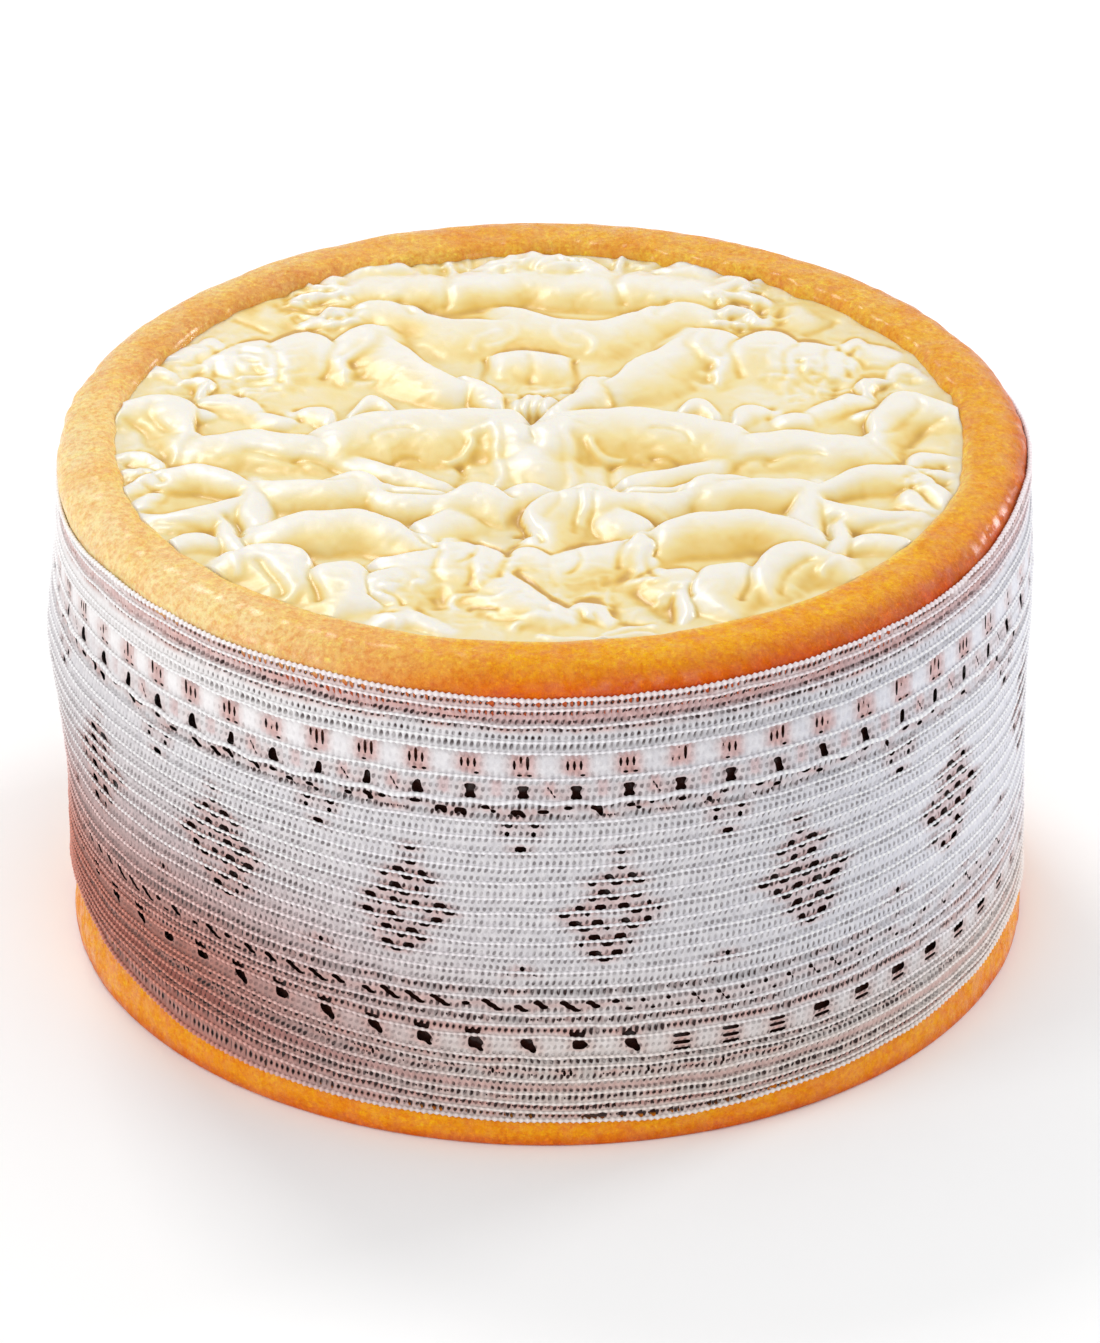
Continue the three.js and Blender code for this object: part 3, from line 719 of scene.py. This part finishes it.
COTTON = srgb(215, 212, 216)
SHADED_COTTON = srgb(212, 200, 194)
SHADED_TAUPE_COTTON = srgb(140, 64, 32)
LIT_COTTON = srgb(246, 242, 242)
LIT_COOL_COTTON = srgb(220, 221, 231)
PINK_COTTON = srgb(228, 200, 198)
FLUSHED_COTTON = srgb(206, 160, 158)
RECESS_SHADE_COTTON = srgb(96, 70, 66)
THIN_COTTON = srgb(178, 128, 118)

# The rows of the lace from its top edge down: the height of the cord over each, and its kind
ROWS = [
    (TOP_CORD, "dots"),
    (61.9, "net"),
    (59.8, "dots_over_plain"),
    (57.75, "strokes"),
    (BLOCKS, "blocks"),
    (UPPER_EYELETS, "eyelets"),
    (WAVE, "wave"),
    (46.6, "ground"),
    (44.45, "ground"),
    (42.4, "ground"),
    (40.3, "ground"),
    (38.15, "ground"),
    (36.0, "ground"),
    (33.9, "ground"),
    (31.75, "ground"),
    (29.6, "ground"),
    (27.5, "ground"),
    (25.35, "ground"),
    (23.2, "dots"),
    (COMMAS, "commas"),
    (19.2, "dots"),
    (OVER_LOW_EYELETS, "dots"),
    (LOW_EYELETS, "low_eyelets"),
    (13.1, "dots"),
    (11.85, "slits"),
    (9.7, "plain"),
    (7.8, "dots"),
    (6.35, "gap"),
    (5.1, "dots"),
    (LOW_CORD, "edge"),
]
# Each kind's lines of small dark gaps in the weave, how dark their painted shade is, and the row's
# levels between its two cords: the share of the way down, and how deep the gaps between its
# stitches are there
ROW_KINDS = {
    "dots": (1, 1.2, [(0.3, 0.9), (0.7, 0.9)]),
    "net": (2, 1.2, [(0.2, 0.7), (0.4, 1.0), (0.6, 0.6), (0.85, 1.0)]),
    "dots_over_plain": (2, 1.0, [(0.14, 0.9), (0.38, 0.9), (0.62, 0.35), (0.85, 0.5)]),
    "strokes": (1, 0.9, [(0.5, 0.8)]),
    "blocks": (
        3,
        0.1,
        [(0.11, 0.7), (0.25, 0.3), (0.47, 0.15), (0.72, 0.15), (0.82, 0.3), (0.93, 0.5)],
    ),
    "eyelets": (3, 0.5, [(0.18, 0.5), (0.32, 0.4), (0.49, 0.4), (0.71, 0.4), (0.89, 0.4)]),
    "low_eyelets": (3, 0.4, [(0.14, 0.3), (0.31, 0.2), (0.48, 0.2), (0.66, 0.2), (0.83, 0.3)]),
    "wave": (2, 0.9, [(0.2, 0.6), (0.4, 0.8), (0.6, 0.5), (0.8, 0.9)]),
    "ground": (2, 0.7, [(0.4, 0.4), (0.62, 0.4)]),
    "commas": (2, 0.7, [(0.2, 0.4), (0.45, 0.3), (0.7, 0.3), (0.88, 0.4)]),
    "slits": (2, 1.2, [(0.25, 0.7), (0.5, 0.9), (0.75, 0.6)]),
    "plain": (2, 1.0, [(0.45, 0.5), (0.75, 0.5)]),
    "gap": (1, 1.3, [(0.35, 1.0), (0.65, 1.0)]),
    "edge": (1, 1.0, []),
}
# How far the lace's rows lie off their heights at the front, by degrees round from the front
WARP_DEGREES = [-180, -110, -75, -60, -45, -30, -15, 0, 15, 30, 45, 60, 75, 110, 180]
WARP = {
    TOP_CORD: [0.5, 0.0, -0.8, 0.5, 0.6, 0.5, 0.3, 0, 0.2, 0.5, 0.7, 1.3, 2.0, 1.2, 0.5],
    50.0: [0.5, 0.5, 0.8, 0.5, 0.2, 0, 0, 0, 0, 0, 0.2, 0.6, 1.0, 0.8, 0.5],
    34.0: [0.5, 1.0, 2.0, 1.9, 1.5, 0.8, -0.3, 0, 0.3, 0.7, 1.0, 1.4, 1.6, 1.0, 0.5],
    20.5: [0.5, 0.5, 0.4, 0.7, 1.2, 0.6, 0.2, 0, -0.3, -0.6, 0, 0.6, 0.6, 0.5, 0.5],
    15.0: [0.5, 1.0, 2.0, 2.0, 2.4, 1.6, 0.2, 0, -0.4, -1, -0.7, -0.6, -0.3, 0.2, 0.5],
    5.6: [0.8, 2.5, 5.0, 4.6, 3.6, 1.7, 0.8, 0, -0.1, 0, 0.2, 0.7, 1.4, 1.0, 0.8],
    LOW_CORD: [1.0, 3.5, 5.5, 3.3, 1.2, 0.4, 0.3, 0, -0.3, 0.4, 1.0, 1.9, 2.8, 1.6, 1.0],
}


def smooth_between(x, knots, values):
    """Values at x on a smooth line through the knots, level at both ends."""
    knots, values = np.array(knots, float), np.array(values, float)
    slopes = np.gradient(values, knots)
    slopes[[0, -1]] = 0
    i = np.clip(np.searchsorted(knots, x) - 1, 0, len(knots) - 2)
    span = knots[i + 1] - knots[i]
    t = (x - knots[i]) / span
    return (
        values[i] * (1 + 2 * t) * (1 - t) ** 2
        + slopes[i] * span * t * (1 - t) ** 2
        + values[i + 1] * t * t * (3 - 2 * t)
        + slopes[i + 1] * span * t * t * (t - 1)
    )


def from_front(degrees):
    """Degrees brought to between -180 and 180."""
    return (np.asarray(degrees, float) + 180) % 360 - 180


def warp_height(degrees, height):
    """How far a point of the lace is lifted, between the heights and angles of WARP."""
    degrees, height = np.broadcast_arrays(from_front(degrees), height)
    knots = sorted(WARP)
    at = [smooth_between(degrees, WARP_DEGREES, WARP[k]) for k in knots]
    lifted = at[0]
    for i, (low, high) in enumerate(zip(knots[:-1], knots[1:])):
        share = np.clip((height - low) / (high - low), 0, 1)
        lifted = np.where(height >= low, lerp(at[i], at[i + 1], share), lifted)
    return lifted


def slack_at(sideways, height, slack):
    most, middle, reach = slack
    return most * np.clip(sideways, 0, 1) ** 6 * np.exp(-(((height - middle) / reach) ** 2))


def lace_points(degrees, height, out):
    """Points of the lace at degrees and a nominal height, out from the cloth."""
    degrees, height, out = np.broadcast_arrays(degrees, height, out)
    z = height + warp_height(degrees, height)
    z = z + 0.14 * smooth_noise(degrees, height * 2, 4.0, 31, wrap=360.0)
    sideways = np.sin(np.radians(degrees))
    slack = slack_at(-sideways, height, SLACK_LEFT) + slack_at(sideways, height, SLACK_RIGHT)
    ripple = 0.12 * smooth_noise(degrees, height, 7.0, 32, wrap=360.0)
    angle = np.radians(degrees - 90)
    # the top rows lie close on the rind
    radius = lerp(LACE_RADIUS, rind_radius(angle, z) + 0.2, eased(57, 63, height))
    return on_wheel(angle, radius + out + slack + ripple, z)


def lace_levels():
    """Every level of the lace's grid: its height, how deep its gaps are, the row it starts, its
    place in the lines of the weave, and how dark their gaps are."""
    levels, line = [], 0
    for row, (high, kind) in enumerate(ROWS):
        low = ROWS[min(row + 1, len(ROWS) - 1)][0]
        lines, dark, between = ROW_KINDS[kind]
        for share, deep in [(0, 0.1)] + between:
            levels.append((lerp(high, low, share), deep, row, line + share * lines, dark))
        line += lines
    heights, depths, rows, lines, darks = (np.array(v, float) for v in zip(*levels))
    return heights, depths, rows.astype(int), lines, darks


def cut_holes(rows):
    """True for each cell of the lace's grid that is open. A cell lies under a level and right of a
    column."""
    opened = np.zeros((len(rows) - 1, COLUMNS), bool)
    cords = [height for height, _ in ROWS]
    columns = np.arange(COLUMNS)

    def level_of(cord, cell):
        return int(np.nonzero(rows == cords.index(cord))[0][0]) + cell

    def punch(cord, cell, degrees, left, right):
        """Open a cell row under a cord, from left columns before the degrees to right after."""
        column = round(float(degrees) / DEGREES_PER_COLUMN)
        opened[level_of(cord, cell), np.arange(column - left, column + right) % COLUMNS] = True

    def try_punch(chance, seeds, *hole):
        if hashed(*seeds) < chance:
            punch(*hole)

    def open_gaps(cord, cell, chance, seed):
        """Open the gaps between stitches of a cell row, each with this chance."""
        opened[level_of(cord, cell)] |= (columns % 2 == 1) & (hashed(columns, seed) < chance)

    for k in range(EYELETS):
        middle = EYELET_FROM + EYELET_PITCH * k
        around = from_front(middle)
        luck = hashed(k, 1)
        # three thin slits over each upper eyelet, then two small holes
        for slit in (-2, 0, 2):
            place = middle + slit * DEGREES_PER_COLUMN
            for cell, chance in ((1, 0.3), (2, 0.8), (3, 0.85)):
                try_punch(chance, (k, slit + 2, cell), BLOCKS, cell, place, 1, 0)
        try_punch(0.8, (k, 1), BLOCKS, 5, middle - 0.5, 1, 1)
        try_punch(0.8, (k, 2), BLOCKS, 5, middle + 0.8, 1, 1)
        # the upper eyelets: hourglasses in front, wedges to the left and slits to the right
        if around < -12:
            widths = ((1, 1), (1, 1), (2, 1)) if luck < 0.5 else ((1, 1), (2, 1), (2, 2))
        elif around < 24:
            widths = ((2, 2), (1, 1), (2, 2))
        else:
            widths = ((1, 1), (1, 1), (1, 1)) if luck < 0.6 else ((2, 1), (1, 1), (1, 2))
        for cell, (left, right) in enumerate(widths, 2):
            punch(UPPER_EYELETS, cell, middle, left, right)
        if luck < 0.55:
            for cell, off in ((2, 0), (3, 0.4), (4, 0.8)):
                punch(UPPER_EYELETS, cell, middle + EYELET_PITCH / 2 + off, 1, 0)
        # the lower eyelets, with a tail at their lower right, and stacks of slits to the right
        if around > 12:
            for cell in (1, 3, 5) if around < 30 else (1, 2, 4):
                punch(LOW_EYELETS, cell, middle, 3, 3)
            continue
        widths = ((2, 2), (2, 2), (1, 3)) if luck < 0.5 else ((2, 2), (2, 3), (2, 2))
        for cell, (left, right) in enumerate(widths, 1):
            punch(LOW_EYELETS, cell, middle, left, right)
        try_punch(0.5, (k, 3), LOW_EYELETS, 4, middle + 0.4, 0, 2)
        try_punch(0.75, (k, 10), OVER_LOW_EYELETS, 2, middle - 0.5, 2, 3)
    # two gaps of the wave and two commas to each eyelet, smaller at the right
    for k in range(2 * EYELETS):
        middle = EYELET_FROM + EYELET_PITCH / 2 * k
        bigger = 1 if from_front(middle) < 12 else 0
        cell = 1 if hashed(k, 4) < 0.6 else 2
        place = middle - 1.2 + 2 * hashed(k, 5)
        punch(WAVE, cell, place, 1 + bigger, 1 + int(2 * hashed(k, 6)))
        try_punch(0.5 * bigger, (k, 12), WAVE, cell + 1, place + 0.6, 1, 1)
        try_punch(0.85, (k, 7), COMMAS, 1, middle - 1.4, 1 + bigger, 1)
        try_punch(0.55 + 0.4 * bigger, (k, 8), COMMAS, 2, middle - 1.0, bigger, 1 + bigger)
        try_punch(0.75, (k, 9), COMMAS, 3, middle - 0.6, 0, 2 + bigger)
    for k in range(DIAMONDS):
        middle = DIAMOND_FROM + DIAMOND_PITCH * k
        flip = 1 if k % 2 else -1
        for row in range(-2, 14):
            cord, cell = cords[10 + row // 2], row % 2 * 2
            reach = 5.6 * (1 - abs(row - 6) / 8.5)
            first = -2.75 * 2 + (row % 2) * 1.4
            for n in range(5):
                place = first + 2.75 * n
                if abs(place) > reach:
                    continue
                luck = hashed(k, row, n)
                if luck < 0.06:
                    continue
                width = 2 if luck < 0.18 else 3 if luck < 0.4 else 4
                place = middle + place + 0.15 * flip * (row - 6.5)
                punch(cord, cell, place, width // 2, width - width // 2)
        # a small triangle of holes over and under each gap between two diamonds
        between = middle + DIAMOND_PITCH / 2 + 1.8
        for side in (-1.5, 1.5):
            punch(46.6, 0, between + side, 1, 2)
            punch(46.6, 2, between + side, 1, 1)
            punch(25.35, 0, between + side, 1, 0)
        punch(44.45, 2, between, 2, 2)
        punch(27.5, 2, between, 1, 1)
    for cord, cell, chance in [
        (TOP_CORD, 1, 0.7),
        (61.9, 1, 0.3),
        (61.9, 3, 0.2),
        (59.8, 1, 0.55),
        (WAVE, 3, 0.2),
        (23.2, 1, 0.15),
        (19.2, 1, 0.5),
        (OVER_LOW_EYELETS, 1, 0.75),
        (13.1, 1, 0.4),
        (11.85, 1, 0.25),
        (11.85, 2, 0.3),
        (7.8, 1, 0.3),
        (6.35, 1, 0.65),
        (5.1, 1, 0.7),
    ]:
        open_gaps(cord, cell, chance, round(10 * cord) + cell)
    return opened


def lace_tint(degrees, height):
    """The colour of the cotton: cool white, with painted shade low down and, in taupe, low on the
    left, painted light high on the left and, cool, low on the right, and pink near the top edge.
    """
    degrees = from_front(degrees)
    left = eased(6, -50, degrees) * eased(-170, -120, degrees)
    right = eased(5, 50, degrees) * eased(170, 120, degrees)
    pink = eased(58, 62, height) * eased(-70, -40, degrees)
    # flushes of pink round the slits and between the upper eyelets
    half = EYELET_PITCH / 2
    off = np.abs((degrees - EYELET_FROM + half) % EYELET_PITCH - half)
    slits = eased(2.0, 0.8, off) * (height < 56) * (height > 53)
    between = eased(1.8, 2.8, off) * (height < 52.2) * (height > 49.8)
    flush = (slits + between) * eased(70, 50, np.abs(degrees))
    return tinted(
        COTTON,
        (SHADED_COTTON, eased(30, 8, height) * (1 - left)),
        # painted shade in taupe, low on the left
        (SHADED_TAUPE_COTTON, 0.9 * left * eased(46, 12, height)),
        # painted light, high on the left
        (LIT_COTTON, 0.9 * left * eased(44, 58, height)),
        # painted light, cool, low on the right
        (LIT_COOL_COTTON, 0.8 * right * eased(6, 26, height)),
        (PINK_COTTON, 0.6 * pink),
        (FLUSHED_COTTON, 0.6 * flush),
    )


def low_left_at(degrees, height):
    return eased(-10, -50, from_front(degrees)) * eased(50, 30, height)


def make_lace(material):
    heights, depths, rows, lines, darks = lace_levels()
    opened = cut_holes(rows)
    columns = np.arange(COLUMNS)
    # openness of the four cells round each point, in the order of corners
    padded = np.pad(opened, ((1, 1), (0, 0)))
    above, below = padded[:-1], padded[1:]
    corners = [(-1, 1), (1, 1), (-1, -1), (1, -1)]
    cells = [np.roll(above, 1, 1), above, np.roll(below, 1, 1), below]
    count = sum(c.astype(int) for c in cells)
    # a point at a corner of an opening, or of the cloth in it, moves to round that corner off
    across, upwards = np.zeros(count.shape), np.zeros(count.shape)
    for (dx, dz), cell in zip(corners, cells):
        turned = ((count == 1) & cell) | ((count == 3) & ~cell)
        across, upwards = across + dx * turned, upwards + dz * turned
    steps = np.diff(heights, prepend=heights[0] + 0.6, append=heights[-1] - 0.6)
    room = np.where(upwards > 0, -steps[:-1, None], -steps[1:, None])
    degrees = (columns[None] + CORNER_SHARE * across) * DEGREES_PER_COLUMN
    height = heights[:, None] + CORNER_SHARE * upwards * room

    unlike = 0.75 + 0.5 * hashed(columns[None] // 2, np.arange(len(heights))[:, None])
    stitch, gap = STITCH_OUT - 0.1 * depths[:, None], -0.45 * depths[:, None] * unlike
    out = np.where(columns % 2 == 1, gap, stitch)
    out = np.where(count > 0, -0.1, out)
    points = lace_points(degrees, height, out).reshape(-1, 3)
    i, j = np.nonzero(~opened)
    a, b = i * COLUMNS + j, i * COLUMNS + (j + 1) % COLUMNS
    faces = np.stack([a, a + COLUMNS, b + COLUMNS, b], 1)
    used = np.zeros(len(points), bool)
    used[faces.ravel()] = True
    renumber = np.cumsum(used) - 1

    kinds = np.array([ROWS[r][1] for r in rows])
    reddish = np.isin(kinds, ["net", "gap", "plain"]) & (depths > 0.2)
    # the stitches are drawn tight and show the rind between them round each opening
    tight = sum(np.roll(count > 0, shift, 1).astype(float) for shift in range(-3, 4)) / 7
    tint = lace_tint(degrees, height) * (1 - reddish[:, None, None] * np.array([0.1, 0.3, 0.32]))
    # painted shade where the cloth is sunk between the stitches
    recess_shade = 0.3 * eased(-0.05, -0.42, out)
    tint = tinted(tint, (RECESS_SHADE_COTTON, recess_shade), (THIN_COTTON, 0.75 * tight))
    around = from_front(degrees)
    # the weave's gaps are painted shade: darker low on the left, where the lace is shaded, and
    # round each opening, lighter high on the left, where it is lit, and fainter towards the sides
    dark = darks[:, None] + 0.3 * low_left_at(degrees, height) + 0.5 * tight
    dark = dark * (1 - 0.7 * eased(-35, -60, around) * eased(36, 52, height))
    dark = dark * (1 - 0.5 * eased(35, 65, np.abs(around)))
    line = np.broadcast_to(lines[:, None], degrees.shape)
    band = mesh_object(
        "lace_cloth",
        points[used],
        [renumber[faces]],
        material,
        tint=tint.reshape(-1, 3)[used],
        line=line.ravel()[used],
        dark=dark.ravel()[used],
    )
    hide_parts("lace_band")
    return band


CORD_SIDES = 5
# How thick a cord is, how beaded and how wavy, for most cords and for three
USUAL_CORD = (0.18, 0.3, 0.0)
OWN_CORDS = {TOP_CORD: (0.27, 0.4, 0.0), WAVE: (0.3, 0.1, 0.2), LOW_CORD: (0.26, 0.4, 0.0)}


def make_cords(name, heights, material):
    """Beaded cords round the band, each at its height."""
    columns = np.arange(COLUMNS)
    following = (columns + 1) % COLUMNS
    degrees = columns * DEGREES_PER_COLUMN
    points, faces, tints = [], [], []
    for n, height in enumerate(heights):
        thick, beaded, wavy = OWN_CORDS.get(height, USUAL_CORD)
        bead = np.where(columns % 2 == 0, 1 + beaded, 1 - beaded)
        radius = thick * bead * (0.88 + 0.24 * hashed(columns // 2, n))
        wave = wavy * np.cos(np.radians((degrees - EYELET_FROM) * 360 / EYELET_PITCH))
        centre = lace_points(degrees, height, STITCH_OUT)
        outwards = centre * np.array([1, 1, 0])
        outwards = outwards / np.linalg.norm(outwards, axis=1)[:, None]
        # painted highlight: each bead brighter than the cord between beads, brighter still low on
        # the left
        shine = np.where(columns % 2 == 0, 1.3 + 0.9 * low_left_at(degrees, height), 0.85)
        shine = shine + 0.1 * hashed(columns // 2, n + 50)
        tint = np.minimum(lace_tint(degrees, height) * shine[:, None], 0.95)
        start = n * COLUMNS * CORD_SIDES
        for side in range(CORD_SIDES):
            turn = FULL_TURN * (side + 0.5) / CORD_SIDES
            up = (radius * math.sin(turn) + wave)[:, None] * np.array([0, 0, 1.0])
            points.append(centre + outwards * (radius * math.cos(turn))[:, None] + up)
            tints.append(tint)
            a = start + side * COLUMNS
            b = start + (side + 1) % CORD_SIDES * COLUMNS
            faces.append(np.stack([a + columns, a + following, b + following, b + columns], 1))
    points, faces, tint = np.concatenate(points), np.concatenate(faces), np.concatenate(tints)
    piece = mesh_object(name, points, [faces], material, tint=tint)
    return piece


# ---------------------------------------------------------------- materials
# The paste's colour from its palest, on the lit crests, to its yellowest, the painted shade deep in
# the creases
PASTE_STOPS = [
    (0.0, srgb(232, 228, 218)),
    (0.22, srgb(230, 221, 194)),
    (0.5, srgb(231, 211, 146)),
    (0.75, srgb(224, 185, 86)),
    (1.0, srgb(198, 150, 56)),
]
# The rind's mottling: each layer's noise, what its values are remapped to, colour and blend mode
RIND_LAYERS = [
    ((150, 4, 0.6), (0.45, 0.65, 0, 0.4), srgb(245, 186, 96), "MULTIPLY"),
    ((260, 5, 0.6), (0.45, 0.7, 0.1, 0.5), srgb(250, 218, 160), "OVERLAY"),
    ((1300, 6, 0.7), (0.35, 0.58, 0.6, 0), srgb(230, 160, 84), "MULTIPLY"),
    ((1600, 5, 0.7), (0.52, 0.7, 0, 0.7), srgb(255, 240, 215), "OVERLAY"),
]


def output_of(tree, kind, inputs, output):
    node = tree.nodes.new("ShaderNode" + kind)
    feed(tree, node, inputs)
    return node.outputs[output]


def mix_colour(tree, factor, first, second, mode="MIX"):
    """A colour mix; factor, first and second are sockets, numbers or colours."""
    mix = tree.nodes.new("ShaderNodeMix")
    mix.data_type, mix.blend_type = "RGBA", mode
    feed(tree, mix, {0: factor, 6: first, 7: second})
    return mix.outputs[2]


def attribute(tree, name, output="Fac"):
    node = tree.nodes.new("ShaderNodeAttribute")
    node.attribute_name = name
    return node.outputs[output]


def remap(tree, value, low, high, to_low=0.0, to_high=1.0):
    inputs = {"Value": value, "From Min": low, "From Max": high}
    inputs |= {"To Min": to_low, "To Max": to_high}
    return output_of(tree, "MapRange", inputs, "Result")


def noise(tree, scale, detail, roughness=0.5):
    place = output_of(tree, "TexCoord", {}, "Object")
    inputs = {"Vector": place, "Scale": scale, "Detail": detail, "Roughness": roughness}
    return output_of(tree, "TexNoise", inputs, "Fac")


def bumped(tree, height, strength, distance):
    inputs = {"Height": height, "Strength": strength, "Distance": distance}
    return output_of(tree, "Bump", inputs, "Normal")


def paste_material():
    material, tree, shader = new_material("paste_cream")
    ramp = tree.nodes.new("ShaderNodeValToRGB")
    elements = ramp.color_ramp.elements
    while len(elements) < len(PASTE_STOPS):
        elements.new(0.5)
    for element, (place, colour) in zip(elements, PASTE_STOPS):
        element.position = place
        element.color = (*colour, 1)
    feed(tree, ramp, {"Fac": remap(tree, attribute(tree, "yellow"), 0, MOST_SHADE_AND_TONE)})
    inputs = {
        "Base Color": ramp.outputs["Color"],
        "Roughness": 0.38,
        "Subsurface Weight": 0.25,
        "Subsurface Radius": (1.0, 0.75, 0.35),
        "Subsurface Scale": 0.002,
        "Coat Weight": 0.25,
        "Coat Roughness": 0.18,
        "Normal": bumped(tree, noise(tree, 900, 4), 0.15, 0.0003),
    }
    feed(tree, shader, inputs)
    return material


def rind_material():
    material, tree, shader = new_material("rind_orange")
    colour = attribute(tree, "tint", "Color")
    for grain, spread, other, mode in RIND_LAYERS:
        colour = mix_colour(tree, remap(tree, noise(tree, *grain), *spread), colour, other, mode)
    inputs = {
        "Base Color": colour,
        "Roughness": 0.4,
        "Specular IOR Level": 0.12,
        "Subsurface Weight": 0.1,
        "Subsurface Radius": (1.0, 0.45, 0.15),
        "Subsurface Scale": 0.0015,
        "Coat Weight": remap(tree, noise(tree, 600, 3), 0.42, 0.6, 0.02, 0.6),
        "Coat Roughness": 0.22,
        "Normal": bumped(tree, noise(tree, 750, 6, 0.7), 0.8, 0.0008),
    }
    feed(tree, shader, inputs)
    return material


def lace_material():
    """Cotton with the weave's small dark gaps, painted as shade: one between each two stitches of
    each line.
    """
    material, tree, shader = new_material("lace_cotton")

    def calc(operation, *values):
        node = tree.nodes.new("ShaderNodeMath")
        node.operation = operation
        feed(tree, node, dict(enumerate(values)))
        return node.outputs[0]

    def pulse(turn):
        """From 0 to 1 and back in each turn."""
        return calc("SUBTRACT", 0.5, calc("MULTIPLY", calc("COSINE", turn), 0.5))

    place = tree.nodes.new("ShaderNodeSeparateXYZ")
    feed(tree, place, {0: output_of(tree, "TexCoord", {}, "Object")})
    turn = calc("ARCTAN2", place.outputs["X"], calc("MULTIPLY", place.outputs["Y"], -1))
    line = attribute(tree, "line")
    stitch = calc("ADD", calc("MULTIPLY", turn, STITCHES), calc("MULTIPLY", line, SLANT))
    gap = calc("MULTIPLY", pulse(stitch), pulse(calc("MULTIPLY", line, FULL_TURN)))
    unlike = remap(tree, noise(tree, 800, 3), 0.35, 0.6, 0.3, 1)
    gap = calc("MULTIPLY", remap(tree, gap, 0.2, 0.65), unlike)
    gap = calc("MULTIPLY", gap, attribute(tree, "dark"))
    colour = attribute(tree, "tint", "Color")
    uneven = remap(tree, noise(tree, 1100, 4, 0.6), 0.4, 0.65, 0, 0.32)
    colour = mix_colour(tree, uneven, colour, srgb(255, 250, 250), "OVERLAY")
    shadow = mix_colour(tree, 1.0, colour, srgb(56, 32, 30), "MULTIPLY")
    fibres = calc("SUBTRACT", noise(tree, 4000, 3, 0.6), calc("MULTIPLY", gap, 2.5))
    inputs = {
        "Base Color": mix_colour(tree, gap, colour, shadow),
        "Roughness": 0.9,
        "Sheen Weight": 0.15,
        "Normal": bumped(tree, fibres, 0.5, 0.00015),
    }
    feed(tree, shader, inputs)
    return material


# ---------------------------------------------------------------- the whole scene
make_camera()
make_surroundings()
make_paste(paste_material())
make_rind(rind_material())
cotton = lace_material()
lace_cloth = make_lace(cotton)
cords = [height for height, _ in ROWS]
upper_cords = make_cords("lace_cords_upper", cords[:15], cotton)
lower_cords = make_cords("lace_cords_lower", cords[15:], cotton)
